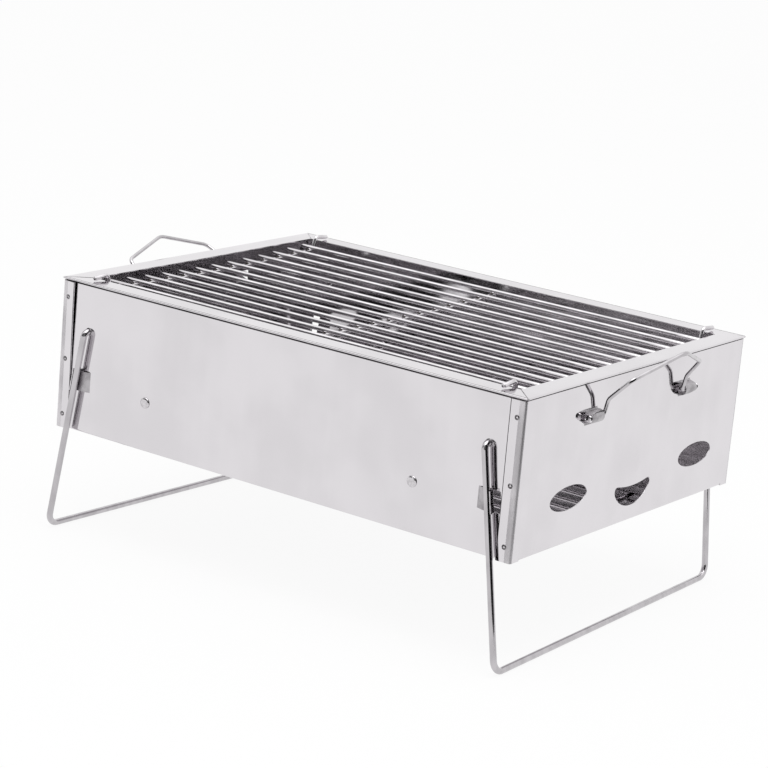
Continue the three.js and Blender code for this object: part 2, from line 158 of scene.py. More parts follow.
def node_box(name: str) -> tuple[Vector, Vector]:
    """Gives the lowest and highest corners of a CAD node in millimetres."""
    low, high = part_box(name)
    return low / MM, high / MM


def joint_place(name: str) -> Vector:
    """Gives the middle of a joint in millimetres."""
    return Vector(next(joint for joint in frame["joints"] if joint["name"] == name)["pos_m"]) / MM


# Finishes


class Slot(Enum):
    """Material slots of the record."""

    PANEL = "panel_sheet"
    FLOOR = "floor_sheet"
    RIVET = "rivet_steel"
    FRAME_WIRE = "frame_wire"
    GRATE_WIRE = "grate_wire"
    COAL_WIRE = "charcoal_wire"


@dataclass(frozen=True)
class DullFinish:
    """Paper or felt whose colour wanders finely between two colours."""

    name: str
    first: str
    second: str
    grain_mm: float
    detail: float  # octaves of the grain

    def shader(self, tree: bpy.types.NodeTree) -> bpy.types.Node:
        """Adds its shader to a tree.

        Args:
            tree: The node tree it goes into.

        Returns:
            The shader node.
        """
        grain = add_node(tree, "TexNoise", {"Scale": 1 / (self.grain_mm * MM), "Detail": self.detail})
        tones = {6: linear(self.first), 7: linear(self.second)}
        colour = add_node(tree, "Mix", tones, {0: grain}, data_type="RGBA")
        return add_node(tree, "BsdfDiffuse", links={"Color": colour.outputs[2]})


@dataclass(frozen=True)
class SteelFinish:
    """A metal whose colour and gloss wander in patches and along the lines its making left."""

    name: str
    dark: str  # colour in its duller places
    light: str  # colour in its clearer places
    gloss: float  # roughness where it is clearest
    haze: float  # roughness added where it is dullest
    line_mm: Point3  # length, width and height of a drawing or rolling line
    patch_mm: float
    peel_mm: float  # size of the fine unevenness of the surface
    peel_depth: float  # its depth in millimetres
    line_share: float = 0.55  # share of the lines in the pattern; the patches have the rest
    spread: Point2 = (0.34, 0.66)  # part of the pattern's range that goes from clear to dull

    def build(self) -> bpy.types.Material:
        """Makes the node material.

        Returns:
            The material.
        """
        material = bpy.data.materials.new(self.name)
        tree = empty_tree(material)
        place = add_node(tree, "TexCoord").outputs["Object"]
        sizes = (self.line_mm, (self.patch_mm,), (self.peel_mm,))
        line, patch, fine = ([1 / (size * MM) for size in group] for group in sizes)
        drawn = add_node(tree, "Mapping", {"Scale": line}, {"Vector": place})
        streaky = {"Scale": 1.0, "Detail": 3.0, "Roughness": 0.55}
        lines = add_node(tree, "TexNoise", streaky, {"Vector": drawn})
        cloudy = {"Scale": patch[0], "Detail": 3.0, "Roughness": 0.5}
        patches = add_node(tree, "TexNoise", cloudy, {"Vector": place})
        rest = add_node(tree, "Math", {1: 1 - self.line_share}, {0: patches}, operation="MULTIPLY")
        blend = add_node(tree, "Math", {1: self.line_share}, {0: lines, 2: rest}, operation="MULTIPLY_ADD")
        limits = dict(zip(("From Min", "From Max"), self.spread))
        dull = add_node(tree, "MapRange", limits, {"Value": blend}, interpolation_type="SMOOTHSTEP")
        tones = {6: linear(self.light), 7: linear(self.dark)}
        colour = add_node(tree, "Mix", tones, {0: dull}, data_type="RGBA")
        blur = {"To Min": self.gloss, "To Max": self.gloss + self.haze}
        rough = add_node(tree, "MapRange", blur, {"Value": dull})
        peel = add_node(tree, "TexNoise", {"Scale": fine[0], "Detail": 0.0}, {"Vector": place})
        bump = add_node(tree, "Bump", {"Strength": 1.0, "Distance": self.peel_depth * MM}, {"Height": peel})
        looks = {"Base Color": colour.outputs[2], "Roughness": rough, "Normal": bump}
        shader = add_node(tree, "BsdfPrincipled", {"Metallic": 1.0}, looks)
        add_node(tree, "OutputMaterial", links={"Surface": shader})
        return material


class Metal(Enum):
    """All the metals of the grill."""

    # Stainless sheet, cold rolled and bright annealed: a clear cold mirror with large hazier patches where it
    # was handled and hardly any rolling streaks. The unevenness is 46 mm wide, the buckling of thin sheet.
    BRIGHT_SHEET = SteelFinish(
        "stainless_sheet_bright_annealed", "D7D4D7", "DEDBDE", 0.05, 0.05, (9.0, 9.0, 160.0),
        patch_mm=60.0, peel_mm=46.0, peel_depth=0.05, line_share=0.12,
    )
    # The mill side of the same sheet, which faces the fire: less clear and unevenly buckled, and darker,
    # partly as the duller mill finish and partly as painted shade for the inside of the box
    MILL_SHEET = SteelFinish(
        "stainless_sheet_mill_side_and_painted_shade", "BBB8BB", "D0CDD0", 0.04, 0.06, (9.0, 9.0, 120.0),
        patch_mm=30.0, peel_mm=30.0, peel_depth=0.25, line_share=0.2,
    )
    # The floor sheet, which lies loose but flat: the clearest mirror of the box, with hardly any buckle
    LOOSE_SHEET = SteelFinish(
        "stainless_sheet_loose_floor", "BDBABD", "D1CED1", 0.008, 0.01, (60.0, 12.0, 12.0),
        patch_mm=40.0, peel_mm=52.0, peel_depth=0.03, line_share=0.2,
    )
    # Sheet that was pressed into a tight shape: scuffed by the punch, so less clear, with a greyer colour
    # that is painted shade on the sleeves and clips
    WORKED_SHEET = SteelFinish(
        "stainless_sheet_press_worked_and_painted_shade", "939093", "B5B2B5", 0.22, 0.10, (9.0, 9.0, 9.0), 9.0, 6.0, 0.004, 0.3
    )
    # Painted shade: dull and nearly black, laid in the crease under a rolled edge, behind it, and along the
    # free edge of a strap
    CREASE = SteelFinish(
        "stainless_dull_painted_shade", "2C292C", "4A474A", 0.35, 0.25, (20.0, 20.0, 2.0), 9.0, 1.5, 0.01
    )
    # The outside of an upright fold and the edge beside it, stretched and rubbed by the folding bar: satin
    STRETCHED_FOLD = SteelFinish(
        "stainless_fold_rubbed_satin", "C0BDC0", "D8D5D8", 0.46, 0.10, (4.0, 4.0, 30.0), 24.0, 3.0, 0.004, 0.4
    )
    # Sheared edges: pale and finely torn, so they catch light from many sides
    SHEARED_EDGE = SteelFinish(
        "stainless_sheared_edge", "B5B2B5", "E5E2E5", 0.16, 0.18, (0.8, 0.8, 0.8), 3.0, 0.7, 0.02
    )
    # Stainless spring wire, bright drawn: long soft lines along the wire and a slightly greyer mirror
    DRAWN_WIRE = SteelFinish(
        "stainless_wire_bright_drawn", "B4B1B4", "C5C2C5", 0.06, 0.08, (6.0, 6.0, 26.0), 14.0, 3.5, 0.006
    )
    # Electropolished stainless rods of the cooking grate: a whiter and clearer mirror
    GRATE_WIRE = SteelFinish(
        "stainless_wire_electropolished", "CAC7CA", "DFDCDF", 0.05, 0.07, (30.0, 5.0, 5.0), 16.0, 3.0, 0.005
    )
    # Drawn rods of the charcoal grate, new and still bright
    COAL_WIRE = SteelFinish(
        "stainless_wire_plain_drawn", "CFCCCF", "DEDBDE", 0.05, 0.06, (24.0, 4.0, 4.0), 12.0, 2.0, 0.01
    )
    # Straight cross wires of both grates, tumbled before welding: satin, and painted pale as painted light
    # where they show between the bars
    CROSS_WIRE = SteelFinish(
        "stainless_wire_tumbled_painted_light", "D8D5D8", "EBE8EB", 0.3, 0.08, (5.0, 20.0, 5.0), 12.0, 2.0, 0.004
    )
    # Cold-headed rivets: bright domes with tiny marks of the setting tool
    RIVET = SteelFinish(
        "stainless_rivet_cold_headed", "BEBBBE", "D7D4D7", 0.07, 0.1, (1.6, 1.6, 1.6), 4.0, 1.1, 0.012
    )
    # The peened tips of the small corner rivets: torn where the punch has struck, and painted dark as painted
    # shade in their dimples
    PEENED_TIP = SteelFinish(
        "stainless_rivet_tip_peened_painted_shade", "4F4C4F", "A5A2A5", 0.18, 0.2, (0.9, 0.9, 0.9), 1.4, 0.6, 0.03
    )
    # Resistance-weld nuggets: straw and grey heat tint over a dull, pitted surface
    WELD = SteelFinish(
        "resistance_weld_heat_tinted", "4A4745", "8E8983", 0.25, 0.2, (0.9, 0.9, 0.9), 2.0, 0.6, 0.04
    )

    def material(self) -> bpy.types.Material:
        """Gives its material, built at its first use."""
        return bpy.data.materials.get(self.value.name) or self.value.build()


class Skin(IntEnum):
    """The parts of a sheet that have a metal of their own, in the order of its material slots."""

    OUTSIDE = 0
    INSIDE = 1
    EDGE = 2
    # Outer faces painted dark as shade in creases and along strap edges
    CREASE = 3
    FOLD = 4


Strip = tuple[Skin, int, float, float]  # its skin, the direction it is measured in, and two limits
# Outside, inside darkened partly as painted shade, cut edges, painted shade, and satin folds
SHEET_METALS = (Metal.BRIGHT_SHEET, Metal.MILL_SHEET, Metal.SHEARED_EDGE, Metal.CREASE, Metal.STRETCHED_FOLD)
# Pressed pieces: outside painted greyer as shade, the darker inner side, cut edges
PRESSED_METALS = (Metal.WORKED_SHEET, Metal.MILL_SHEET, Metal.SHEARED_EDGE)


def mesh_piece(
    name: str, shape: Shape, metals: Sequence[Metal], slots: Sequence[int] | None = None
) -> bpy.types.Object:
    """Makes a smooth-shaded object in metres from points in millimetres and faces.

    Args:
        name: The piece's name.
        shape: Its points and faces.
        metals: The metals of its material slots.
        slots: The material slot of each face, or None where all have the first.

    Returns:
        The object, linked to the scene.
    """
    mesh = bpy.data.meshes.new(name)
    mesh.from_pydata([tuple(point) for point in shape[0]], [], [tuple(face) for face in shape[1]])
    if slots is not None:
        mesh.polygons.foreach_set("material_index", slots)
    mesh.transform(Matrix.Scale(MM, 4))
    for metal in metals:
        mesh.materials.append(metal.material())
    mesh.shade_smooth()
    mesh.set_sharp_from_angle(angle=SMOOTH_BELOW)
    mesh.update()
    obj = bpy.data.objects.new(name, mesh)
    bpy.context.scene.collection.objects.link(obj)
    return obj


def hand_over(obj: bpy.types.Object, body: str, slot: Slot, *nodes: str) -> None:
    """Makes a piece ride on its body and stand for its CAD nodes.

    Args:
        obj: The piece.
        body: The CAD body that it moves with.
        slot: The record's material slot; not used.
        *nodes: The CAD nodes that it stands for.
    """
    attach(obj, body)
    if nodes:
        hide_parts(*nodes)
    stands_for = ", ".join(nodes) or "no node"
    LOG.info("%s on %s, %d faces, for %s", obj.name, body, len(obj.data.polygons), stands_for)


# Sheet work


@dataclass(frozen=True)
class Bend:
    """One run of a sheet's section: straight where it doesn't turn."""

    length: float  # along the middle of the sheet
    turn: float = 0.0  # degrees, towards the inside of the box where positive

    @classmethod
    def arc(cls, radius: float, turn: float) -> "Bend":
        """Gives a run that turns at a radius."""
        return cls(radius * math.radians(abs(turn)), turn)


@dataclass(frozen=True)
class SectionWalk:
    """A walk along the middle of a bent sheet's section, starting flat."""

    bends: Sequence[Bend]

    @property
    def length(self) -> float:
        """Length of the whole walk."""
        return sum(bend.length for bend in self.bends)

    def at(self, distance: float) -> Point3:
        """Finds a place on the walk.

        Args:
            distance: How far along it.

        Returns:
            How far ahead and how far out that is from the start, and the heading in radians.
        """
        ahead, out, heading, left = 0.0, 0.0, 0.0, distance
        for bend in self.bends:
            step = min(left, bend.length)
            turn = math.radians(bend.turn)
            if turn:
                radius = bend.length / turn
                after = heading + turn * step / bend.length
                ahead += radius * (math.sin(after) - math.sin(heading))
                out += radius * (math.cos(after) - math.cos(heading))
                heading = after
            else:
                ahead += step * math.cos(heading)
                out -= step * math.sin(heading)
            left -= step
            if left <= 0:
                break
        return ahead, out, heading

    def stations(self, finest: float = 11.0) -> list[float]:
        """Lists the places where the sheet needs an edge across the walk.

        Args:
            finest: Degrees between edges round a bend.

        Returns:
            Distances along the walk.
        """
        found, start = [], 0.0
        for bend in self.bends:
            parts = max(1, round(abs(bend.turn) / finest))
            found += [start + bend.length * i / parts for i in range(parts)]
            start += bend.length
        return found


@dataclass
class Blank:
    """A flat sheet blank before it is bent, measured along u and up v."""

    outline: list[Point2]
    holes: list[list[Point2]]
    cuts_u: list[float]  # places of the edges that cross it
    cuts_v: list[float]
    strips: Sequence[Strip] = ()  # where its outer face has another finish

    def outer_skin(self, face: bmesh.types.BMFace) -> Skin:
        """Finds the skin of a face's outer side.

        Args:
            face: The face.

        Returns:
            The skin of the strip it lies in, or else the plain outside.
        """
        middle = face.calc_center_median()
        found = (skin for skin, axis, low, high in self.strips if low < middle[axis] < high)
        return next(found, Skin.OUTSIDE)

    def on_cut(self, edge: bmesh.types.BMEdge) -> bool:
        """Tells whether an edge lies on one of the cuts.

        Args:
            edge: The edge.

        Returns:
            True where it does.
        """
        a, b = (vert.co for vert in edge.verts)
        near = 5 * TINY
        return any(
            abs(a[axis] - b[axis]) < near and any(abs(a[axis] - cut) < near for cut in cuts)
            for axis, cuts in enumerate((self.cuts_u, self.cuts_v))
        )

    def mesh(self) -> bmesh.types.BMesh:
        """Fills the outline round its holes and cuts the sheet into a net of faces.

        Returns:
            The flat mesh, whose points hold u and v in x and y.
        """
        flat, edges = bmesh.new(), []
        for loop in [self.outline, *self.holes]:
            corners = [flat.verts.new((u, v, 0)) for u, v in loop]
            edges += [flat.edges.new((corners[i - 1], corners[i])) for i in range(len(corners))]
        bmesh.ops.triangle_fill(flat, use_beauty=True, edges=edges, normal=(0, 0, 1))
        for axis, cuts in enumerate((self.cuts_u, self.cuts_v)):
            way = Vector((1 - axis, axis, 0))
            for cut in cuts:
                geom = [*flat.verts, *flat.edges, *flat.faces]
                bmesh.ops.bisect_plane(flat, geom=geom, dist=TINY, plane_co=way * cut, plane_no=way)
        # The edges that the filling left between the cuts go, and the points left in the middle of an edge
        spare = [edge for edge in flat.edges if len(edge.link_faces) == 2 and not self.on_cut(edge)]
        bmesh.ops.dissolve_edges(flat, edges=spare, use_verts=False)
        middle = [vert for vert in flat.verts if len(vert.link_edges) == 2 and not vert.is_boundary]
        bmesh.ops.dissolve_verts(flat, verts=middle)
        flat.normal_update()
        if sum(face.normal.z * face.calc_area() for face in flat.faces) < 0:
            bmesh.ops.reverse_faces(flat, faces=flat.faces)
        return flat


def cut_places(low: float, high: float, step: float, needed: Sequence[float]) -> list[float]:
    """Spreads cuts over a span, keeping the needed ones and leaving out regular ones close to them.

    Args:
        low: Start of the span.
        high: End of the span.
        step: Distance between the regular cuts.
        needed: Cuts that have to be there.

    Returns:
        All cuts, in order.
    """
    count = max(1, round((high - low) / step))
    regular = [low + (high - low) * i / count for i in range(1, count)]
    kept = [r for r in regular if all(abs(r - n) > step / 3 for n in needed)]
    return sorted({round(c, 5) for c in [*kept, *needed]})


def bend_sheet(name: str, blank: Blank, surface: Surface, metals: Sequence[Metal]) -> bpy.types.Object:
    """Bends a blank into a closed sheet piece of even thickness.

    Args:
        name: The piece's name.
        blank: The flat blank.
        surface: Gives the point and the outer normal in the middle of the sheet for a place on the blank.
        metals: Metals of its outer face, its inner face, its cut edges and the blank's strips.

    Returns:
        The piece.
    """
    flat = blank.mesh()
    flat.verts.index_update()
    placed = [surface(vert.co.x, vert.co.y) for vert in flat.verts]
    points = [point + normal * (way * SHEET / 2) for way in (1, -1) for point, normal in placed]
    faces, slots = [], []
    for face in flat.faces:
        ring = [vert.index for vert in face.verts]
        faces += [ring, [len(placed) + i for i in reversed(ring)]]
        slots += [blank.outer_skin(face), Skin.INSIDE]
    for edge in flat.edges:
        if len(edge.link_faces) == 1:
            loop = next(each for each in edge.link_faces[0].loops if each.edge == edge)
            a, b = loop.vert.index, loop.link_loop_next.vert.index
            faces.append([b, a, len(placed) + a, len(placed) + b])
            slots.append(Skin.EDGE)
    flat.free()
    return mesh_piece(name, (points, faces), metals, slots)


def oval(u: float, v: float, half_u: float, half_v: float, sides: int = 56) -> list[Point2]:
    """Gives an oval outline round a middle."""
    turns = [2 * math.pi * i / sides for i in range(sides)]
    return [(u + half_u * math.cos(a), v + half_v * math.sin(a)) for a in turns]


# Wire work and turned work


def bent_line(corners: Sequence[Vector], radii: Sequence[float], steps: int, longest: float) -> list[Vector]:
    """Gives the middle line of a bent wire.

    Args:
        corners: Its corners, ends included.
        radii: Bend radius at each inner corner.
        steps: Steps round each bend.
        longest: The longest step allowed on a straight run.

    Returns:
        Points along the line.
    """
    points = [corners[0]]
    for before, corner, after, radius in zip(corners, corners[1:], corners[2:], radii):
        arriving = (corner - before).normalized()
        leaving = (after - corner).normalized()
        turn = arriving.angle(leaving)
        inward = (leaving - arriving * math.cos(turn)).normalized()
        start = corner - arriving * (radius * math.tan(turn / 2))
        for i in range(steps + 1):
            a = turn * i / steps
            points.append(start + arriving * (radius * math.sin(a)) + inward * (radius * (1 - math.cos(a))))
    points.append(corners[-1])
    out = [points[0]]
    for before, after in zip(points, points[1:]):
        parts = max(1, math.ceil((after - before).length / longest))
        out += [before.lerp(after, i / parts) for i in range(1, parts + 1)]
    return out


def circle(middle: Vector, across: Vector, way: Vector, radius: float, sides: int) -> list[Vector]:
    """Gives the points of a circle round a direction, from a first one across it."""
    turns = [2 * math.pi * i / sides for i in range(sides)]
    return [middle + (across * math.cos(a) + way.cross(across) * math.sin(a)) * radius for a in turns]


def band(first: int, sides: int) -> list[list[int]]:
    """Gives the faces between a circle, from its first point's number, and the circle after it."""
    pairs = [(first + i, first + (i + 1) % sides) for i in range(sides)]
    return [[a, b, b + sides, a + sides] for a, b in pairs]


@dataclass(frozen=True)
class WireStock:
    """Round wire of one gauge."""

    diameter: float
    sides: int  # faces round it
    end_round: float = 0.5  # how far its cut ends are rounded off

    def stations(self, points: Sequence[Vector]) -> list[tuple[Vector, Vector, float]]:
        """Lists the rings of a wire along its path, with its rounded ends.

        Args:
            points: The middle line of the wire.

        Returns:
            Place, direction and radius of each ring.
        """
        radius, steps = self.diameter / 2, 3
        ways = [(b - a).normalized() for a, b in zip(points, points[1:])]
        around = zip(points, [ways[0], *ways], [*ways, ways[-1]])
        rings = [(point, (before + after).normalized(), radius) for point, before, after in around]
        for end, way in ((0, -ways[0]), (-1, ways[-1])):
            cap = []
            for i in range(steps + 1):
                a = i / steps * math.pi / 2
                back, shrink = (self.end_round * (1 - f(a)) for f in (math.sin, math.cos))
                cap.append((points[end] - way * back, ways[end], radius - shrink))
            if end == 0:
                rings[:1] = reversed(cap)
            else:
                rings[-1:] = cap
        return rings

    def tube(self, points: Sequence[Vector]) -> Shape:
        """Sweeps the wire along a path.

        Args:
            points: The middle line of the wire.

        Returns:
            Points and faces of the closed tube.
        """
        rings = self.stations(points)
        across = rings[0][1].orthogonal().normalized()
        verts: list[Vector] = []
        for place, way, radius in rings:
            across = (across - way * across.dot(way)).normalized()
            verts += circle(place, across, way, radius, self.sides)
        last = len(verts) - self.sides
        faces = [face for first in range(0, last, self.sides) for face in band(first, self.sides)]
        return verts, [*faces, list(reversed(range(self.sides))), list(range(last, len(verts)))]


def turned(profile: Sequence[Point2], origin: Vector, axis: Vector, sides: int) -> Shape:
    """Turns a profile round an axis into a closed piece.

    Args:
        profile: Radius and place along the axis of each point, both ends on the axis.
        origin: Where the axis starts.
        axis: Its direction.
        sides: Faces round it.

    Returns:
        Points and faces.
    """
    way = axis.normalized()
    across = way.orthogonal().normalized()
    verts = [origin + way * profile[0][1]]
    for radius, place in profile[1:-1]:
        verts += circle(origin + way * place, across, way, radius, sides)
    last = len(verts)
    verts.append(origin + way * profile[-1][1])
    faces = [face for first in range(1, last - sides, sides) for face in band(first, sides)]
    for i in range(sides):
        j = (i + 1) % sides
        faces += [[0, 1 + j, 1 + i], [last - sides + i, last - sides + j, last]]
    return verts, faces


def joined(parts: Sequence[Shape]) -> Shape:
    """Puts several sets of points and faces together.

    Args:
        parts: The sets.

    Returns:
        All their points and faces.
    """
    verts: list[Vector] = []
    faces: list[list[int]] = []
    for points, rings in parts:
        faces += [[len(verts) + i for i in ring] for ring in rings]
        verts += points
    return verts, faces


# The box


class Side(Enum):
    """The four sides of the box."""

    FRONT = "front"
    REAR = "rear"
    RIGHT = "right"
    LEFT = "left"

    def place(self, along: float, out: float, up: float) -> Vector:
        """Turns a side's own directions into the frame of the grill.

        Args:
            along: To the right, seen from outside.
            out: Outward.
            up: Upward.

        Returns:
            The vector in the frame.
        """
        if self in (Side.REAR, Side.LEFT):
            along, out = -along, -out
        return Vector((along, -out, up) if self in (Side.FRONT, Side.REAR) else (out, along, up))


@dataclass(frozen=True)
class BoxShape:
    """Sizes that the sheet pieces share."""

    length: float = 350.0  # over the end rims
    depth: float = 250.0  # over the front and rear rims
    setback: float = 0.9  # rim edge to the face of the wall
    rim_width: float = 14.0
    mitre_trim: float = 0.25  # end of a rim to the corner of the box, at its outer edge
    neck_gap: float = 2.4
    ledge_width: float = 8.0
    fold: float = 1.3  # radius of a fold at the middle of the sheet
    nose_bend: float = 0.45
    nose_straight: float = 0.12
    nose_roll: float = 0.33
    slit: float = 0.3  # shear cut between a wall and its rim past the neck
    net: float = 6.0  # distance between the edges of the mesh on a wall
    rim_net: float = 4.6  # and on a rim
    rim_z: float = field(default_factory=lambda: node_box("front_panel")[1].z)
    bottom_z: float = field(default_factory=lambda: node_box("front_panel")[0].z)

    @property
    def fold_arc(self) -> float:
        """Length of the sheet in a square fold."""
        return self.fold * math.pi / 2

    @property
    def wall_top(self) -> float:
        """Height where a wall starts to bend out into its rim."""
        return self.rim_z - SHEET / 2 - 2 * self.nose_roll - self.nose_bend

    @property
    def fold_z(self) -> float:
        """Height where a wall starts to bend in under the box."""
        return self.bottom_z + SHEET / 2 + self.fold

    @property
    def wall_height(self) -> float:
        """Flat height of a wall between its two folds."""
        return self.wall_top - self.fold_z

    @property
    def nose(self) -> list[Bend]:
        """Section of the rolled edge."""
        return [Bend.arc(self.nose_bend, -90), Bend(self.nose_straight), Bend.arc(self.nose_roll, 180)]

    @property
    def rim_walk(self) -> SectionWalk:
        """Section from the top of a wall round the rolled edge to the inner edge of the rim."""
        flat = self.rim_width - (self.setback + SHEET / 2) + self.nose_bend + self.nose_straight
        return SectionWalk([*self.nose, Bend(flat)])

    @property
    def ledge_walk(self) -> SectionWalk:
        """Section from the foot of a wall round to the edge of its ledge."""
        return SectionWalk([Bend.arc(self.fold, 90), Bend(self.ledge_width - SHEET / 2 - self.fold)])


@dataclass(frozen=True)
class Dent:
    """A soft dent or bulge in a wall, outward where its height is positive."""

    along: float
    up: float
    reach: float
    height: float


@dataclass
class WallPanel:
    """What the long panels and the end panels share: a wall between a rolled rim and a folded ledge."""

    box: BoxShape
    side: Side
    half: float  # half the outside length of its rim
    face: float  # its outer face to the middle of the box
    under_roll_shade: float = 0.9  # height of the painted shade in the crease under the rolled edge
    shade_behind_roll: bool = False  # whether a second strip of painted shade lies behind the rolled edge, where a groove would be
    back_shade_span: Point2 = (0.15, 0.75)  # where that one starts and ends, from the top of the rolled edge
    dents: tuple[Dent, ...] = ()
    wave: float = 0.05  # height of its gentle buckles
    short_buckle: Point2 = (11.0, 15.0)  # their reach along the wall and up
    long_buckle: Point2 = (23.0, 19.0)
    long_share: float = 0.7  # height of the long buckles beside the short ones
    buckle_fade: float = 16.0  # how soon they fade towards an edge
    stiff_end: float = 4.0  # end of the rim to where they are gone
    phase: Point3 = (1.7, 0.6, 2.1)  # sets the buckles of the four sides apart, and the two kinds
    rim_sag: float = 0.10
    rim_sag_reach: float = 31.0
    rim_stiff: Point2 = (2.0, 8.0)  # where that starts, from the top of the wall, and over what width

    @property
    def middle(self) -> float:
        """Distance of the middle of its sheet from the middle of the box."""
        return self.face - SHEET / 2

    @property
    def strap_start(self) -> float:
        """Place along the panel where its side edges start to fold; plain side edges never do."""
        return math.inf

    @property
    def ledge_half(self) -> float:
        """Half the length of its ledge, which each kind of panel gives."""
        raise NotImplementedError

    @property
    def rim_outline(self) -> list[Point2]:
        """Right side of the rim's blank, from the neck along the mitre to its inner edge.

        Returns:
            Points, from the neck on.
        """
        box, start, walk = self.box, self.box.wall_height, self.box.rim_walk
        neck = self.half - box.rim_width - box.neck_gap
        points = [(neck, start - box.slit), (neck, start)]
        for s in [*walk.stations(), walk.length]:
            inward = self.face + box.setback - (self.middle + walk.at(s)[1])
            points.append((self.half - box.mitre_trim - inward, start + s))
        return points

    @property
    def rim_shade_strips(self) -> list[Strip]:
        """Strips of painted shade: one in the crease under the rolled edge, and one behind it where the panel
        has a second.

        Returns:
            One or two strips.
        """
        start = self.box.wall_height
        lengths = [run.length for run in self.box.nose]
        creases = [(Skin.CREASE, 1, start - self.under_roll_shade, start + lengths[0])]
        if self.shade_behind_roll:
            creases.append((Skin.CREASE, 1, *(start + sum(lengths) + limit for limit in self.back_shade_span)))
        return creases

    def relief(self, along: float, up: float) -> float:
        """Gives how far the wall stands out at a place, from its buckles and dents.

        Args:
            along: Place along the wall.
            up: Height in the frame.

        Returns:
            Millimetres outward.
        """
        edge = min(self.half - self.stiff_end - abs(along), up - self.box.fold_z, self.box.wall_top - up)
        step, short_phase, long_phase = self.phase
        phase = step * (list(Side).index(self.side) + 1)
        (short_u, short_v), (long_u, long_v) = self.short_buckle, self.long_buckle
        buckle = math.sin(along / short_u + phase) * math.cos(up / short_v + short_phase * phase)
        buckle += self.long_share * math.sin(along / long_u - up / long_v + long_phase * phase)
        total = self.wave * buckle
        for dent in self.dents:
            away = ((along - dent.along) ** 2 + (up - dent.up) ** 2) / dent.reach**2
            total += dent.height * math.exp(-away)
        return total * smooth_step(edge / self.buckle_fade)

    def in_frame(self, point: Point3, normal: Point3) -> tuple[Vector, Vector]:
        """Turns a point and a normal from the side's own directions into the frame."""
        return self.side.place(*point), self.side.place(*normal)

    def on_strap(self, u: float, up: float) -> tuple[Vector, Vector]:
        """Places a point of a side edge, which a panel without folded side edges doesn't have."""
        raise NotImplementedError(f"{self.side.value} panel has no strap at {u}, {up}")

    def surface(self, u: float, v: float) -> tuple[Vector, Vector]:
        """Places a point of the panel.

        Args:
            u: Place along the blank.
            v: Place up the blank, from the foot of the wall.

        Returns:
            The point and the outer normal in the frame.
        """
        box = self.box
        above = v - box.wall_height
        if above > 0:
            ahead, out, heading = box.rim_walk.at(above)
            start, width = self.rim_stiff
            sag = self.rim_sag * math.sin(u / self.rim_sag_reach + self.face)
            sag *= smooth_step((above - start) / width)
            point = (u, self.middle + out, box.wall_top + ahead + sag)
            return self.in_frame(point, (0, math.cos(heading), math.sin(heading)))
        if v < 0 and abs(u) <= self.ledge_half + TINY:
            ahead, out, heading = box.ledge_walk.at(-v)
            point = (u, self.middle + out, box.fold_z - ahead)
            return self.in_frame(point, (0, math.cos(heading), -math.sin(heading)))
        up = box.fold_z + v
        if abs(u) > self.strap_start:
            return self.on_strap(u, up)
        step = SLOPE_STEP
        slope_u = (self.relief(u + step, up) - self.relief(u - step, up)) / (2 * step)
        slope_v = (self.relief(u, up + step) - self.relief(u, up - step)) / (2 * step)
        normal = Vector((-slope_u, 1, -slope_v)).normalized()
        return self.in_frame((u, self.middle + self.relief(u, up), up), normal)

    def add_panel(
        self, word: str, right: list[Point2], holes: list[list[Point2]], cuts: Sequence[list[float]],
        strips: Sequence[Strip] = (),
    ) -> None:
        """Makes the panel's sheet and hands it over.

        Args:
            word: First part of its name and of its node's.
            right: Right side of its outline, from the ledge to the side of the rim.
            holes: Outlines of its holes.
            cuts: Cuts across the blank along u, and those across its wall along v.
            strips: Strips of painted shade and satin folds besides those of the rim.
        """
        box = self.box
        above = [*box.rim_walk.stations(), *(box.rim_walk.length - box.rim_net * i for i in (1, 2))]
        cuts_v = [*cuts[1], *(box.wall_height + s for s in above), *(-s for s in box.ledge_walk.stations())]
        cuts_v += [limit for crease in self.rim_shade_strips for limit in crease[2:]]
        outline = [*right, *self.rim_outline]
        outline += [(-u, v) for u, v in reversed(outline)]
        strips = [*self.rim_shade_strips, *strips]
        blank = Blank(outline, holes, cuts[0], sorted({round(cut, 5) for cut in cuts_v}), strips)
        sheet = bend_sheet(f"{word}_sheet", blank, self.surface, SHEET_METALS)
        hand_over(sheet, "box", Slot.PANEL, f"{word}_panel")


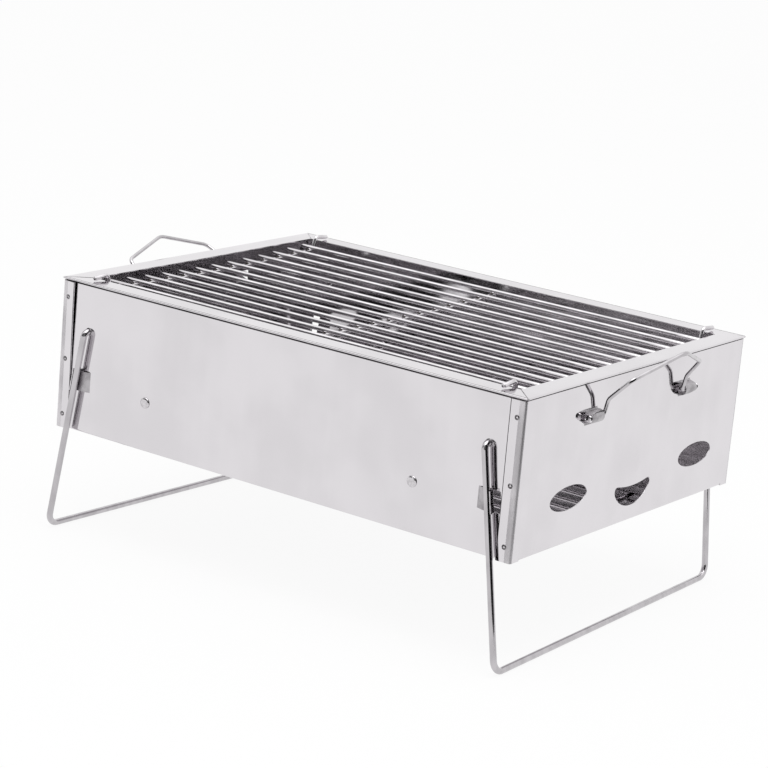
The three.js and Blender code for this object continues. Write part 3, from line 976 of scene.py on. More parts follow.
@dataclass
class Clip:
    """The tab lanced out of a long panel beside an arm: a ramp under the arm and an ear that stops it."""

    top: float  # its highest edge
    bottom: float
    root: float  # where it leaves the panel, along the panel towards the end
    stop: float  # middle of the arm at half its height, along the panel
    lean: float  # tangent of the arm's lean
    rise: float = 1.5
    slope: float = 24.0  # degrees
    bend: float = 1.4  # radius at both ends of the slope
    corner: float = 0.8  # radius at the foot of the ear
    ear_gap: float = 2.63  # middle of the arm to the middle of the ear's sheet
    ear_height: float = 5.0
    tip: Bend = Bend(0.6, -9)
    window: float = 4.0  # opening past the ear
    lean_in: float = 6.0  # length from the root over which it takes the arm's lean
    net: float = 3.0  # distance between the edges of its mesh

    @property
    def walk(self) -> SectionWalk:
        """Section from the root over the ramp to the tip of the ear.

        Returns:
            The walk along it.
        """
        slope = math.radians(self.slope)
        run = (self.rise - 2 * self.bend * (1 - math.cos(slope))) / math.sin(slope)
        ahead = 2 * self.bend * math.sin(slope) + run * math.cos(slope)
        flat = self.stop + self.ear_gap - self.corner - self.root - ahead
        ear = self.ear_height - self.rise + SHEET / 2 - self.corner
        ramp = [Bend.arc(self.bend, -self.slope), Bend(run), Bend.arc(self.bend, self.slope), Bend(flat)]
        return SectionWalk([*ramp, Bend.arc(self.corner, -90), Bend(ear - self.tip.length), self.tip])

    @property
    def window_outline(self) -> list[Point2]:
        """Outline of the opening it leaves, along the panel and in height.

        Returns:
            Its four corners.
        """
        outside = self.stop + self.ear_gap + SHEET / 2 + self.window
        skew = (self.top - self.bottom) / 2 * self.lean
        outer = [(outside + skew, self.bottom), (outside - skew, self.top)]
        return [(self.root, self.bottom), *outer, (self.root, self.top)]

    def build(self, name: str, panel: WallPanel, end: int) -> None:
        """Makes the tab.

        Args:
            name: The piece's name.
            panel: The panel it is part of.
            end: 1 for the right end of the panel seen from outside, or -1 for the left.
        """
        walk = self.walk
        middle = (self.top + self.bottom) / 2

        def surface(u: float, v: float) -> tuple[Vector, Vector]:
            """Places a point of the tab.

            Args:
                u: Place along the walk, negative at the left end.
                v: Height.

            Returns:
                The point and the outer normal in the frame.
            """
            along = end * u
            ahead, out, heading = walk.at(along)
            skew = (middle - v) * self.lean * smooth_step(along / self.lean_in)
            base = panel.relief(end * self.root, v)
            point = (end * (self.root + ahead + skew), panel.middle + out + base, v)
            return panel.in_frame(point, (end * math.sin(heading), math.cos(heading), 0))

        low, high = sorted((0, end * walk.length))
        outline = [(low, self.bottom), (high, self.bottom), (high, self.top), (low, self.top)]
        cuts_u = [end * s for s in walk.stations(finest=10) if s > 0]
        blank = Blank(outline, [], cuts_u, cut_places(self.bottom, self.top, self.net, []))
        hand_over(bend_sheet(name, blank, surface, PRESSED_METALS), "box", Slot.PANEL)


@dataclass
class LongPanel(WallPanel):
    """The front or rear panel, with two clips and the holes for the legs and the support pins."""

    pivot: Point2 = (151.5, 133.25)  # along the panel and in height
    leg_hole: float = 2.45
    pin: Point2 = (102.0, 98.25)
    pin_hole: float = 2.3
    splay: float = 9.3
    clip_drop: float = 57.0
    clip_height: float = 13.0
    clip_root: float = 9.0
    ledge_trim: float = 1.0  # how much its ledge is shorter than its wall at each end

    @property
    def wall_half(self) -> float:
        """Half the length of its wall."""
        return self.half - self.box.setback - SHEET - SEAM

    @property
    def ledge_half(self) -> float:
        """Half the length of its ledge."""
        return self.wall_half - self.ledge_trim

    @property
    def clip(self) -> Clip:
        """The tab at either end.

        Returns:
            The tab.
        """
        top = self.box.rim_z - self.clip_drop
        lean = math.tan(math.radians(self.splay))
        stop = self.pivot[0] + (self.pivot[1] - (top - self.clip_height / 2)) * lean
        return Clip(top, top - self.clip_height, stop - self.clip_root, stop, lean)

    def build(self) -> None:
        """Makes the panel and its two tabs."""
        box, clip, half = self.box, self.clip, self.ledge_half
        right = [(half, -box.ledge_walk.length), (half, 0.0)]
        right += [(self.wall_half, v) for v in (0.0, box.wall_height - box.slit)]
        holes, cuts_u = [], []
        leg_v, pin_v = (place[1] - box.fold_z for place in (self.pivot, self.pin))
        for end, _ in ENDS:
            holes.append(oval(end * self.pivot[0], leg_v, self.leg_hole, self.leg_hole, 32))
            holes.append(oval(end * self.pin[0], pin_v, self.pin_hole, self.pin_hole, 20))
            holes.append([(end * u, z - box.fold_z) for u, z in clip.window_outline])
            cuts_u += [end * u for u in (self.pivot[0], self.pin[0], clip.stop)]
        cuts_v = cut_places(0, box.wall_height, box.net, [leg_v, pin_v])
        cuts_u = cut_places(-self.wall_half, self.wall_half, box.net, cuts_u)
        self.add_panel(self.side.value, right, holes, (cuts_u, cuts_v))
        for end, letter in ENDS:
            clip.build(f"{self.side.value}_leg_clip_{letter}", self, end)


@dataclass
class Sleeve:
    """A half-round sleeve pressed out of an end panel, in which a handle turns."""

    near: float = 47.2
    far: float = 60.0
    radius: float = 3.5  # at the middle of the sheet
    drawn_in: float = 0.9  # how much smaller its mouth is
    mouth: Point2 = (5.0, 3.0)  # over what length, and at what height that is full
    rise: float = 1.7  # face of the panel to the middle of the round part
    foot: float = 5.0  # half the height of the pressed strip
    shoulder: float = 0.9

    @property
    def walk(self) -> SectionWalk:
        """Section from the upper foot over the round part to the lower foot.

        Returns:
            The walk along it.
        """
        half = [
            Bend(self.foot - self.radius - self.shoulder),
            Bend.arc(self.shoulder, -90),
            Bend(self.rise + SHEET / 2 - self.shoulder),
        ]
        return SectionWalk([*half, Bend.arc(self.radius, 180), *reversed(half)])

    def build(self, name: str, panel: WallPanel, end: int, height: float) -> None:
        """Makes the sleeve.

        Args:
            name: The piece's name.
            panel: The end panel it is part of.
            end: Which side of the middle it is on, 1 or -1.
            height: Height of its middle.
        """
        walk = self.walk

        def surface(u: float, v: float) -> tuple[Vector, Vector]:
            """Places a point of the sleeve.

            Args:
                u: Place along the sleeve.
                v: Place along the walk, negative downward.

            Returns:
                The point and the outer normal in the frame.
            """
            ahead, out, heading = walk.at(-v)
            up = height + self.foot - ahead
            length, full = self.mouth
            narrow = smooth_step((abs(u) - self.far + length) / length) * smooth_step(out / full)
            narrow *= self.drawn_in
            normal = Vector((0, math.cos(heading), -math.sin(heading)))
            point = Vector((u, panel.middle + out + panel.relief(u, up) + narrow, up)) - normal * narrow
            return panel.in_frame(point, normal)

        low, high = sorted((end * self.near, end * self.far))
        outline = [(low, -walk.length), (high, -walk.length), (high, 0.0), (low, 0.0)]
        cuts_u = [low + (high - low) * i / 10 for i in range(1, 10)]
        blank = Blank(outline, [], cuts_u, [-s for s in walk.stations(finest=9) if s > 0])
        hand_over(bend_sheet(name, blank, surface, PRESSED_METALS), "box", Slot.PANEL)


@dataclass
class EndPanel(WallPanel):
    """An end panel, whose side edges wrap round the long panels, with its vents and two sleeves."""

    strap_width: float = 10.0
    spring: Point2 = (1.2, 1.2)  # degrees the strap at each end stands off at its top
    spring_low: float = 22.0  # height over the bottom where that starts
    spring_top: float = 8.0  # distance under the rim where it is full
    fold_steps: int = 7
    rubbed: Point2 = (0.3, 2.6)  # width of the satin strip on each side of the fold
    strap_edge_shade: float = 0.45  # width of the painted shade along the free edge of a strap
    vent_width: float = 40.0
    vent_height: float = 14.8
    vent_along: float = 72.8
    vent_shift: float = 4.0  # all three toward the rear
    vent_drop: float = 68.7
    smile_width: float = 42.4
    smile_height: float = 15.2
    smile_notch: float = 2.8
    smile_drop: float = 72.2
    smile_round: float = 5.0  # how far from each tip its corner starts to round
    handle_drop: float = 22.0
    sleeve: Sleeve = field(default_factory=Sleeve)

    @property
    def strap_start(self) -> float:
        """Place along the panel where its side edges start to fold."""
        return self.half - SHEET / 2 - self.box.fold

    @property
    def strap_end(self) -> float:
        """Place along the blank where a strap ends."""
        return self.strap_start + self.box.fold_arc + self.strap_width - self.box.fold - SHEET / 2

    @property
    def ledge_half(self) -> float:
        """Half the length of its ledge."""
        return self.half - self.box.setback - self.box.ledge_width - SEAM

    @property
    def shift(self) -> float:
        """How far the vents stand to the right of the middle, seen from outside."""
        return self.vent_shift if self.side is Side.RIGHT else -self.vent_shift

    def on_strap(self, u: float, up: float) -> tuple[Vector, Vector]:
        """Places a point of a strap, which springs back more towards its top.

        Args:
            u: Place along the blank.
            up: Height in the frame.

        Returns:
            The point and the outer normal in the frame.
        """
        box, end = self.box, 1 if u > 0 else -1
        low, high = box.bottom_z + self.spring_low, box.rim_z - self.spring_top
        lift = self.spring[0 if end < 0 else 1] * smooth_step((up - low) / (high - low))
        walk = SectionWalk([Bend(box.fold_arc, 90 - lift), Bend(self.strap_width)])
        ahead, out, heading = walk.at(abs(u) - self.strap_start)
        point = (end * (self.strap_start + ahead), self.middle + out, up)
        return self.in_frame(point, (end * math.sin(heading), math.cos(heading), 0))

    @property
    def smile(self) -> list[Point2]:
        """Outline of the smile vent, along the panel and in height: two arcs whose tips are rounded.

        Returns:
            Its points.
        """
        half, sag, steps, rounding = self.smile_width / 2, self.smile_notch, 36, 6
        level = self.box.rim_z - self.smile_drop
        tips = ((half, level), (-half, level))
        low = [math.pi * (1 + i / steps) for i in range(steps + 1)]
        lower = [(half * math.cos(a), level + self.smile_height * math.sin(a)) for a in low]
        radius = (half * half + sag * sag) / (2 * sag)
        high = [math.asin(half / radius) * (1 - 2 * i / steps) for i in range(1, steps)]
        upper = [(radius * math.sin(a), level - sag + radius * (1 - math.cos(a))) for a in high]
        outline = []
        for run, following, tip in ((lower, upper, tips[0]), (upper, lower, tips[1])):
            outline += [p for p in run if min(math.dist(p, end) for end in tips) > self.smile_round]
            before, after = outline[-1], next(p for p in following if math.dist(p, tip) > self.smile_round)
            for t in (i / rounding for i in range(1, rounding)):
                three = zip(before, tip, after)
                outline.append(tuple((1 - t) ** 2 * a + 2 * t * (1 - t) * b + t * t * c for a, b, c in three))
        return [(u + self.shift, z) for u, z in outline]

    def build(self) -> None:
        """Makes the panel and its two sleeves."""
        box, sleeve, half, far = self.box, self.sleeve, self.ledge_half, self.strap_end
        handle_v, vent_v = (box.rim_z - drop - box.fold_z for drop in (self.handle_drop, self.vent_drop))
        foot = -(box.fold + SHEET / 2)
        right = [(half, -box.ledge_walk.length), (half, 0.0), (half + box.slit, 0.0), (half + box.slit, foot)]
        right += [(far, foot), (far, box.wall_height - box.slit)]
        holes = [[(u, z - box.fold_z) for u, z in self.smile]]
        top, bottom = handle_v + sleeve.foot, handle_v - sleeve.foot
        satin = (self.strap_start - self.rubbed[0], self.strap_start + box.fold_arc + self.rubbed[1])
        steps = self.fold_steps
        folding = [self.strap_start + box.fold_arc * i / steps for i in range(steps + 1)]
        cuts_u, edges, folds = [0.0], [], []
        for end, _ in ENDS:
            vent_u = end * self.vent_along + self.shift
            low, high = sorted((end * sleeve.near, end * sleeve.far))
            holes.append(oval(vent_u, vent_v, self.vent_width / 2, self.vent_height / 2))
            holes.append([(low, bottom), (high, bottom), (high, top), (low, top)])
            cuts_u += [end * place for place in (*folding, *satin)] + [vent_u, (low + high) / 2]
            # Painted shade along the free edge of each strap
            edges.append((Skin.CREASE, 0, *sorted((end * (far - self.strap_edge_shade), end * self.half * 2))))
            folds.append((Skin.FOLD, 0, *sorted((end * satin[0], end * satin[1]))))
        cuts_u = cut_places(-self.strap_start, self.strap_start, box.net, cuts_u)
        cuts_u = sorted([*cuts_u, self.strap_edge_shade - far, far - self.strap_edge_shade])
        cuts_v = cut_places(foot, box.wall_height, box.net, [0.0, handle_v, vent_v])
        self.add_panel(f"{self.side.value}_end", right, holes, (cuts_u, cuts_v), [*edges, *folds])
        for end, letter in ENDS:
            name = f"{self.side.value}_handle_sleeve_{letter}"
            sleeve.build(name, self, end, handle_v + box.fold_z)


@dataclass
class RivetWork:
    """The domed support pins and the small clinched rivets at the corners."""

    box: BoxShape
    head: float = 7.0
    head_height: float = 1.2
    skirt: float = 0.12  # height of the head's upright edge
    flatness: float = 0.92  # under 1 for a dome that is fuller at its edge
    corner_drops: Point3 = (12.0, 52.0, 88.0)
    # Each table holds radii and distances inward, from the outer face of what is riveted in the first two and
    # from its inner face in the last two: under a pin's head, a corner rivet's dimple and ring, a pin's
    # collar, shank and tip, and a corner rivet's upset collar.
    pin_under: tuple[Point2, ...] = ((3.35, -0.02), (2.0, 0.0))
    corner_outside: tuple[Point2, ...] = (
        (0.0, 0.3), (0.35, 0.26), (0.55, -0.05), (0.75, -0.375), (0.98, -0.45), (1.25, -0.3), (1.6, -0.02),
        (1.6, 0.06), (0.9, 0.1),
    )
    pin_inside: tuple[Point2, ...] = (
        (2.0, 0.05), (3.0, 0.05), (3.2, 0.3), (3.1, 0.8), (2.1, 0.95), (2.0, 1.1), (2.0, 10.0), (1.85, 10.35),
        (1.5, 10.5), (0.0, 10.5),
    )
    corner_inside: tuple[Point2, ...] = ((0.9, -0.05), (1.6, 0.02), (1.5, 0.35), (0.8, 0.5), (0.0, 0.5))

    @property
    def pin_profile(self) -> list[Point2]:
        """A support pin's profile: radius, and distance inward from the outer face.

        Returns:
            Its points.
        """
        steps, half, tall = 10, self.head / 2, self.head_height - self.skirt
        turns = [i / steps * math.pi / 2 for i in range(steps + 1)]
        dome = [(half * math.sin(a) ** self.flatness, -self.skirt - tall * math.cos(a)) for a in turns]
        return [*dome, *self.pin_under, *((radius, SHEET + z) for radius, z in self.pin_inside)]

    @property
    def corner_profile(self) -> list[Point2]:
        """A corner rivet's profile: a low ring round a dimple, and an upset collar inside."""
        grip = 2 * SHEET + SEAM
        return [*self.corner_outside, *((radius, grip + z) for radius, z in self.corner_inside)]

    def build(self, ends: dict[Side, EndPanel]) -> None:
        """Makes all the rivets.

        Args:
            ends: The end panels, whose straps carry the corner rivets.
        """
        for face, inward in (("front", 1), ("rear", -1)):
            for word in ("left", "right"):
                node = f"support_pin_{face}_{word}"
                low, high = node_box(node)
                origin = (low + high) / 2
                origin.y = -inward * (self.box.depth / 2 - self.box.setback)
                pin = turned(self.pin_profile, origin, Vector((0, inward, 0)), sides=32)
                hand_over(mesh_piece(f"grate_pin_{face}_{word}", pin, [Metal.RIVET]), "box", Slot.RIVET, node)
                self.add_corner(ends[Side(word)], inward if word == "left" else -inward, f"{face}_{word}")

    def add_corner(self, panel: EndPanel, end: int, words: str) -> None:
        """Makes the three rivets of one corner, each square to its strap.

        Args:
            panel: The end panel.
            end: 1 for its right strap seen from outside, or -1 for the left.
            words: The corner's name.
        """
        reach = panel.strap_end - panel.strap_width / 2
        for index, drop in enumerate(self.corner_drops, 1):
            point, normal = panel.surface(end * reach, self.box.rim_z - drop - self.box.fold_z)
            clinch = turned(self.corner_profile, point + normal * (SHEET / 2), -normal, sides=24)
            # The dark colour of the tips is painted shade in the dimples
            piece = mesh_piece(f"corner_clinch_{words}_{index:02d}", clinch, [Metal.PEENED_TIP])
            hand_over(piece, "box", Slot.RIVET, f"corner_rivet_{words}_{index:02d}")


# Legs and handles


@dataclass
class SideWire:
    """A moving piece of bent wire at the right or left end of the grill."""

    side: int  # 1 for the right one, -1 for the left
    pivot: Vector  # middle of its hinge, in millimetres

    @property
    def word(self) -> str:
        """Which end it stands at."""
        return "right" if self.side > 0 else "left"


@dataclass
class WireLeg(SideWire):
    """A leg of one bent wire: two arms that turn in the long panels, and a floor bar between them."""

    wire: WireStock = WireStock(4.0, sides=28, end_round=0.7)
    arm_y: float = 128.1
    tail_y: float = 117.5
    splay: float = 9.3
    top_bend: float = 3.4
    foot_bend: float = 8.0
    racked: float = 8.0  # how far the rear foot is bent toward the middle of the grill

    def build(self) -> None:
        """Makes the leg."""
        radius, top_x, top_z = self.wire.diameter / 2, abs(self.pivot.x), self.pivot.z
        foot_x = top_x + (top_z - radius) * math.tan(math.radians(self.splay))
        front = [(top_x, -self.tail_y, top_z), (top_x, -self.arm_y, top_z), (foot_x, -self.arm_y, radius)]
        rear = [(foot_x - self.racked, self.arm_y, radius)]
        rear += [(top_x, self.arm_y, top_z), (top_x, self.tail_y, top_z)]
        radii = [self.top_bend, self.foot_bend, self.foot_bend, self.top_bend]
        path = bent_line([Vector(corner) for corner in front + rear], radii, steps=14, longest=30.0)
        tube = self.wire.tube([Vector((self.side * p.x, p.y, p.z)) for p in path])
        leg = mesh_piece(f"{self.word}_leg_wire", tube, [Metal.DRAWN_WIRE])
        hand_over(leg, f"{self.word}_leg", Slot.FRAME_WIRE, f"{self.word}_leg")


@dataclass
class WireHandle(SideWire):
    """A swinging handle of thin wire with a roof-shaped grip, whose ends turn in two sleeves."""

    wire: WireStock = WireStock(2.4, sides=22, end_round=0.45)
    half_width: float = 45.0
    tail: float = 62.0
    kink: Point2 = (2.1, 9.8)  # outward and up from the pivot
    head: float = 2.2  # radius of the upset end, which stands just outside the sleeve
    head_length: float = 1.9
    bends: tuple[float, ...] = (2.4, 6.0, 5.0, 14.0)
    # Front corner, peak and rear corner of the grip: outward from the pivot, along it and up from it. Both
    # handles are bent by hand and have sagged a little differently.
    right_grip: tuple[Point3, ...] = ((14.9, -43.5, 23.3), (24.1, 0.5, 35.7), (11.9, 41.5, 21.5))
    left_grip: tuple[Point3, ...] = ((14.4, -42.5, 19.5), (24.1, -2.0, 28.7), (20.2, 41.8, 18.7))

    @property
    def path(self) -> list[Vector]:
        """The middle line of the wire.

        Returns:
            Its points.
        """
        out, up = self.kink
        rear = [(out, self.half_width, up), (0, self.half_width, 0), (0, self.tail, 0)]
        front = [(x, -y, z) for x, y, z in reversed(rear)]
        corners = [*front, *(self.right_grip if self.side > 0 else self.left_grip), *rear]
        radii = [*self.bends, *self.bends[-2::-1]]
        line = bent_line([Vector(corner) for corner in corners], radii, steps=10, longest=20.0)
        return [Vector((self.side * (abs(self.pivot.x) + p.x), p.y, self.pivot.z + p.z)) for p in line]

    @property
    def head_profile(self) -> list[Point2]:
        """The upset head that keeps an end of the wire from slipping back through its sleeve.

        Returns:
            Radius and place along the wire of its points.
        """
        turns = [math.pi * i / 8 for i in range(9)]
        half = self.head_length / 2
        return [(self.head * abs(math.sin(a)) ** 0.8, -half * (1 + math.cos(a))) for a in turns]

    def build(self) -> None:
        """Makes the handle."""
        path = self.path
        ends = (path[:2], path[:-3:-1])
        heads = [turned(self.head_profile, tip, tip - near, sides=20) for tip, near in ends]
        tube = self.wire.tube(path)
        shape = joined([tube, *heads])
        slots = [int(index >= len(tube[1])) for index in range(len(shape[1]))]
        # The heads take the pale sheared-edge metal: rough like a cut end, and its paleness is a painted
        # highlight on the tips
        handle = mesh_piece(f"{self.word}_handle_wire", shape, [Metal.DRAWN_WIRE, Metal.SHEARED_EDGE], slots)
        hand_over(handle, f"{self.word}_handle", Slot.FRAME_WIRE, f"{self.word}_handle")


# Grates


@dataclass
class Hook:
    """How the end cross wires of a grate rise and hook over the long rims."""

    rim_z: float
    edge: float = 111.0  # inner edge of the long rims
    base: float = 7.0  # that edge to the foot of the rise
    rise: float = 4.0  # and to its top
    top: float = 2.9  # height of the wire over the rim there
    reach: float = 8.0
    bend: float = 2.6
    stiff: float = 6.0  # height under the rims over which the sag of the wire fades


@dataclass
class WireGrate:
    """Straight bars on three cross wires, welded where they meet."""

    word: str  # its CAD body, and first part of its node names
    bars: int
    wire: WireStock
    metal: Metal
    slot: Slot
    bow: float = 0.16  # how far a rod strays from straight
    sag: float = 0.0  # how far the middle hangs under its nominal height, and the edges stand over it
    sag_half: float = 98.8  # middle to an edge bar
    bow_phase: Point3 = (0.4, 2.3, 2.0)  # how the number of a rod, and a place on it, set its bow
    hook: Hook | None = None
    uneven: Point2 = (0.12, 3.1)  # how much the widths of the weld nuggets vary, and how fast from bar to bar
    # Radius and height of a nugget, in shares of the wire's radius
    nugget_shares: tuple[Point2, ...] = (
        (0.0, -0.62), (0.55, -0.55), (0.86, -0.28), (0.72, 0.0), (0.88, 0.3), (0.5, 0.56), (0.0, 0.62)
    )

    def add(self, name: str, shape: Shape, metal: Metal, *nodes: str) -> None:
        """Makes one of its pieces from points and faces and hands it over."""
        hand_over(mesh_piece(f"{self.word}_{name}", shape, [metal]), self.word, self.slot, *nodes)

    def sagged(self, y: float) -> float:
        """Gives the height a place gains or loses because the welded grate hangs through."""
        return self.sag * (2 * min(1.0, (y / self.sag_half) ** 2) - 1)

    def straight(self, node: str, axis: int, seed: int) -> list[Vector]:
        """Gives the middle line of a straight rod in the place of its node, with a slight bow of its own.

        Args:
            node: Its CAD node.
            axis: 0 for a rod along the box, 1 for one across it.
            seed: Picks its bow.

        Returns:
            Points of the line.
        """
        low, high = node_box(node)
        start = (low + high) / 2
        stop, points, steps = start.copy(), [], 12
        turn, shift, twist = self.bow_phase
        start[axis], stop[axis] = low[axis], high[axis]
        for share in (i / steps for i in range(steps + 1)):
            point = start.lerp(stop, share)
            wave = math.sin(math.pi * share + turn * seed) * math.sin(shift * seed + twist * share)
            point[1 - axis] += self.bow * wave
            point.z += self.sagged(point.y)
            points.append(point)
        return points

    def hooked(self, node: str, hook: Hook) -> list[Vector]:
        """Gives the middle line of an end cross wire with its two hooks.

        Args:
            node: Its CAD node.
            hook: Sizes of the hooks.

        Returns:
            Points of the line.
        """
        low, high = node_box(node)
        x, radius, start = (low.x + high.x) / 2, self.wire.diameter / 2, hook.edge - hook.rise
        half = [
            (hook.edge + hook.reach, hook.rim_z + SEAM + radius),
            (start, hook.rim_z + hook.top),
            (hook.edge - hook.base, low.z + radius),
        ]
        corners = [Vector((x, -y, z)) for y, z in half] + [Vector((x, y, z)) for y, z in reversed(half)]
        path = bent_line(corners, [hook.bend] * 4, steps=12, longest=12.0)
        for point in path:
            if abs(point.y) < start:
                point.z += self.sagged(point.y) * smooth_step((hook.rim_z - point.z) / hook.stiff)
        return path

    def welds(self) -> Shape:
        """Gives the weld nuggets at every crossing.

        Returns:
            Their points and faces.
        """
        radius, (spread, rate), parts = self.wire.diameter / 2, self.uneven, []
        for place in PLACES:
            low, high = node_box(f"{self.word}_cross_{place}")
            x = (low.x + high.x) / 2
            for index in range(self.bars):
                bar_low, bar_high = node_box(f"{self.word}_bar_{index + 1:02d}")
                y = (bar_low.y + bar_high.y) / 2
                top = (bar_low.z + bar_high.z) / 2 + self.sagged(y)
                grow = 1 + spread * math.sin(rate * index + x)
                profile = [(wide * radius * grow, tall * radius) for wide, tall in self.nugget_shares]
                origin = Vector((x, y, top - radius - SEAM / 2))
                parts.append(turned(profile, origin, Vector((0, 0, 1)), sides=12))
        return joined(parts)

    def build(self) -> None:
        """Makes the bars, the cross wires and the welds."""
        for index in range(1, self.bars + 1):
            node = f"{self.word}_bar_{index:02d}"
            self.add(f"rod_{index:02d}", self.wire.tube(self.straight(node, 0, index)), self.metal, node)
        hooks = ("left", "right") if self.hook else ()
        for place in hooks:
            node = f"{self.word}_cross_{place}"
            self.add(f"hook_wire_{place}", self.wire.tube(self.hooked(node, self.hook)), self.metal, node)
        for seed, place in enumerate(PLACES, 2):
            if place not in hooks:
                node = f"{self.word}_cross_{place}"
                # The ties take a satin metal whose paleness is painted light
                self.add(f"tie_{place}", self.wire.tube(self.straight(node, 1, seed)), Metal.CROSS_WIRE, node)
        self.add("weld_nuggets", self.welds(), Metal.WELD)


# Studio


@dataclass(frozen=True)
class StudioCard:
    """An upright card that round metal reflects and the camera doesn't see."""

    name: str
    start: Point2  # place of one end over the floor
    stop: Point2
    heights: Point2  # of its lower and upper edge
    felt: DullFinish


@dataclass(frozen=True)
class Studio:
    """Camera, floor, world, lamp and cards."""

    camera_place: Point3 = (923.023, -1331.225, 534.027)
    camera_aim: Point3 = (-7.13, -5.00, 112.71)
    camera_roll: float = -5.1007  # degrees
    lens: float = 124.129
    sensor: float = 36.0
    clip: Point2 = (0.05, 60.0)  # metres
    floor_half: float = 9000.0
    # Matt white paper: its fibres tint the white a little, and it reflects nothing
    paper: DullFinish = DullFinish("studio_floor_white_paper", "F8F8F8", "FFFFFF", 25.0, 4.0)
    floor_glow: float = 0.9  # share of the floor that shows plain white to the eye and in reflections
    plain_level: float = 0.78  # world light on dull surfaces
    overhead_level: float = 1.5
    overhead_from: Point2 = (0.55, 0.85)  # height of the sky where that starts and is full
    flag_level: float = 0.2
    flag_way: Point3 = (0.5, -0.8, 0.35)
    flag_from: Point2 = (0.70, 0.84)
    lamp_power: float = 9.0
    lamp_size: float = 1400.0
    lamp_place: Point3 = (200.0, -300.0, 1700.0)
    lamp_aim: Point3 = (0.0, 0.0, 100.0)
    # Felt on board: short fibres make it dull and nearly even, so round metal takes dark bands from it
    cards: tuple[StudioCard, ...] = (
        StudioCard(
            "black_card", (360.0, -360.0), (430.0, 50.0), (0.0, 450.0),
            DullFinish("studio_black_card_felt", "0C0C0D", "232325", 11.11, 3.0),
        ),
        StudioCard(
            "grey_card", (-820.0, -560.0), (-180.0, -640.0), (210.0, 640.0),
            DullFinish("studio_grey_card_felt", "5A5A5C", "6E6E70", 11.11, 3.0),
        ),
    )

    def clear(self) -> None:
        """Removes what a new Blender file holds."""
        kept = {*frame["nodes"].values(), *frame["bodies"].values()}
        for obj in [o for o in bpy.data.objects if o not in kept]:
            bpy.data.objects.remove(obj)

    def add_camera(self) -> None:
        """Places the camera at the photograph's viewing angle."""
        place, aim = Vector(self.camera_place), Vector(self.camera_aim)
        forward = (aim - place).normalized()
        level = forward.cross(Vector((0, 0, 1))).normalized()
        roll = math.radians(self.camera_roll)
        up = level.cross(forward) * math.cos(roll) + level * math.sin(roll)
        data = bpy.data.cameras.new("studio_camera")
        data.lens, data.sensor_width = self.lens, self.sensor
        data.clip_start, data.clip_end = self.clip
        camera = bpy.data.objects.new("studio_camera", data)
        axes = Matrix((forward.cross(up), up, -forward)).transposed().to_4x4()
        camera.matrix_world = Matrix.Translation(place * MM) @ axes
        bpy.context.scene.collection.objects.link(camera)
        bpy.context.scene.camera = camera

    def shows_background(self, tree: bpy.types.NodeTree) -> bpy.types.Node:
        """Gives 1 for rays that should see the plain background: camera, glossy and transmission rays.

        Args:
            tree: The node tree that asks.

        Returns:
            The node that holds the answer.
        """
        path = add_node(tree, "LightPath").outputs
        links = {0: path["Is Camera Ray"], 1: path["Is Glossy Ray"]}
        either = add_node(tree, "Math", links=links, operation="MAXIMUM")
        return add_node(tree, "Math", links={0: either, 1: path["Is Transmission Ray"]}, operation="MAXIMUM")

    def add_floor(self) -> None:
        """Lays the pale floor, which keeps a soft shadow of the grill."""
        sheet = bmesh.new()
        bmesh.ops.create_grid(sheet, x_segments=8, y_segments=8, size=self.floor_half * MM)
        mesh = bpy.data.meshes.new("studio_floor")
        sheet.to_mesh(mesh)
        sheet.free()
        material = bpy.data.materials.new(self.paper.name)
        tree = empty_tree(material)
        dull = self.paper.shader(tree)
        glow = add_node(tree, "Emission", {"Color": linear("FFFFFF"), "Strength": 1.0})
        seen = self.shows_background(tree)
        share = add_node(tree, "Math", {1: self.floor_glow}, {0: seen}, operation="MULTIPLY")
        both = add_node(tree, "MixShader", links={0: share, 1: dull, 2: glow})
        add_node(tree, "OutputMaterial", links={"Surface": both})
        mesh.materials.append(material)
        floor = bpy.data.objects.new("studio_floor", mesh)
        bpy.context.scene.collection.objects.link(floor)

    def add_world(self) -> None:
        """Makes the white room, brighter overhead and with one darker wall behind the camera."""
        world = bpy.data.worlds.new("white_room")
        bpy.context.scene.world = world
        tree = empty_tree(world)
        way = add_node(tree, "TexCoord").outputs["Generated"]
        height = add_node(tree, "SeparateXYZ", links={0: way}).outputs["Z"]
        aim = Vector(self.flag_way).normalized()
        towards = add_node(tree, "VectorMath", {1: aim}, {0: way}, operation="DOT_PRODUCT")
        levels = []
        for value, (start, stop), level in (
            (height, self.overhead_from, self.overhead_level),
            (towards.outputs["Value"], self.flag_from, self.flag_level),
        ):
            limits = {"From Min": start, "From Max": stop, "To Min": 1.0, "To Max": level}
            eased = add_node(tree, "MapRange", limits, {"Value": value}, interpolation_type="SMOOTHSTEP")
            levels.append(eased)
        room = add_node(tree, "Math", links=dict(enumerate(levels)), operation="MULTIPLY")
        camera = add_node(tree, "LightPath").outputs["Is Camera Ray"]
        seen = add_node(tree, "Mix", {3: 1.0}, {0: camera, 2: room}, data_type="FLOAT")
        shows = self.shows_background(tree)
        level = add_node(tree, "Mix", {2: self.plain_level}, {0: shows, 3: seen}, data_type="FLOAT")
        back = add_node(tree, "Background", {"Color": linear("FFFFFF")}, {"Strength": level})
        add_node(tree, "OutputWorld", links={"Surface": back})

    def add_lamp(self) -> None:
        """Hangs one large soft lamp overhead."""
        data = bpy.data.lights.new("overhead_softbox", "AREA")
        data.shape, data.size = "DISK", self.lamp_size * MM
        data.energy = self.lamp_power
        lamp = bpy.data.objects.new("overhead_softbox", data)
        place, aim = Vector(self.lamp_place) * MM, Vector(self.lamp_aim) * MM
        lamp.location = place
        lamp.rotation_euler = (aim - place).to_track_quat("-Z", "Y").to_euler()
        bpy.context.scene.collection.objects.link(lamp)

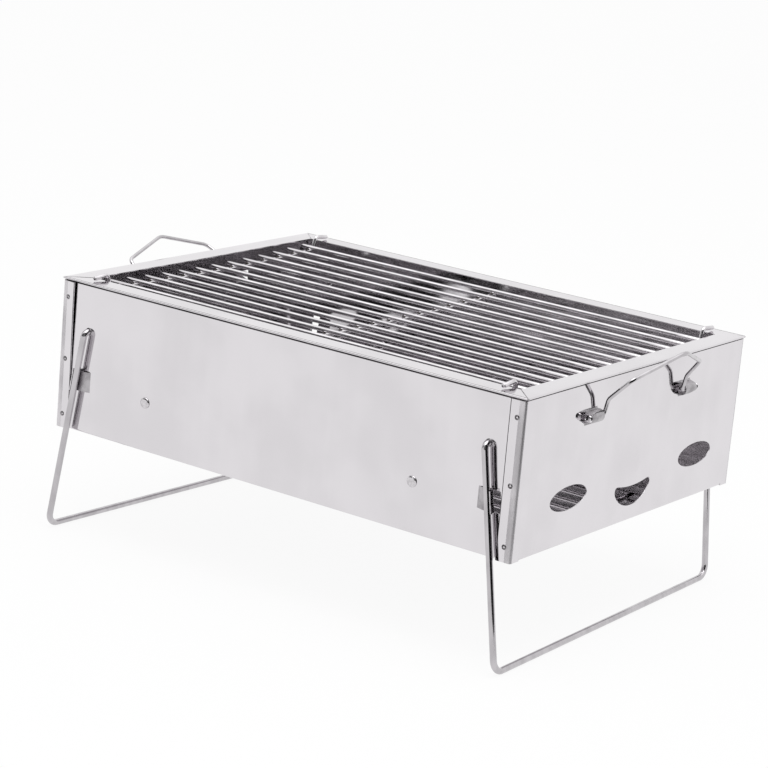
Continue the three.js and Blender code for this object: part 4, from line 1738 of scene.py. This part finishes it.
    def add_card(self, card: StudioCard) -> None:
        """Stands a dark card beside the grill, which only the bent and round metal reflects.

        Args:
            card: Its place and its colours.
        """
        low, high = card.heights
        corners = [(card.start, low), (card.stop, low), (card.stop, high), (card.start, high)]
        shape = [Vector((*place, z)) for place, z in corners], [[0, 1, 2, 3]]
        board = mesh_piece(f"studio_{card.name}", shape, [])
        material = bpy.data.materials.new(card.felt.name)
        tree = empty_tree(material)
        add_node(tree, "OutputMaterial", links={"Surface": card.felt.shader(tree)})
        board.data.materials.append(material)
        board.visible_camera = board.visible_diffuse = board.visible_shadow = False

    def build(self) -> None:
        """Sets the whole studio up."""
        bpy.context.scene.view_settings.view_transform = "Standard"
        self.add_camera()
        self.add_floor()
        self.add_world()
        self.add_lamp()
        for card in self.cards:
            self.add_card(card)


def main() -> None:
    """Builds the grill piece by piece."""
    logging.basicConfig(level=logging.INFO, format="%(message)s")
    studio = Studio()
    studio.clear()
    studio.build()
    box = BoxShape()

    dents = (Dent(-128.0, 140.0, 26.0, 0.35), Dent(150.0, 133.0, 12.0, -0.25), Dent(-60.0, 92.0, 40.0, -0.25))
    for side, dented in ((Side.FRONT, dents), (Side.REAR, ())):
        LongPanel(box, side, box.length / 2, box.depth / 2 - box.setback, shade_behind_roll=True, dents=dented).build()
    ends = {}
    for side, spring in ((Side.RIGHT, (3.0, 1.2)), (Side.LEFT, (1.2, 6.0))):
        face = box.length / 2 - box.setback
        ends[side] = EndPanel(box, side, box.depth / 2, face, under_roll_shade=0.6, spring=spring)
        ends[side].build()
    RivetWork(box).build(ends)

    plate = frame["nodes"]["floor_plate"]
    plate.data.materials.clear()
    plate.data.materials.append(Metal.LOOSE_SHEET.material())
    LOG.info("floor_plate keeps its CAD mesh")

    for end, word in ((1, "right"), (-1, "left")):
        WireLeg(end, joint_place(f"{word}_leg_fold")).build()
        WireHandle(end, joint_place(f"{word}_handle_swing")).build()

    hook = Hook(box.rim_z)
    wire = WireStock(2.8, sides=20)
    WireGrate("cooking_grate", 13, wire, Metal.GRATE_WIRE, Slot.GRATE_WIRE, sag=1.0, hook=hook).build()
    WireGrate("charcoal_grate", 15, WireStock(2.4, sides=16), Metal.COAL_WIRE, Slot.COAL_WIRE).build()


if __name__ == "__main__":
    main()
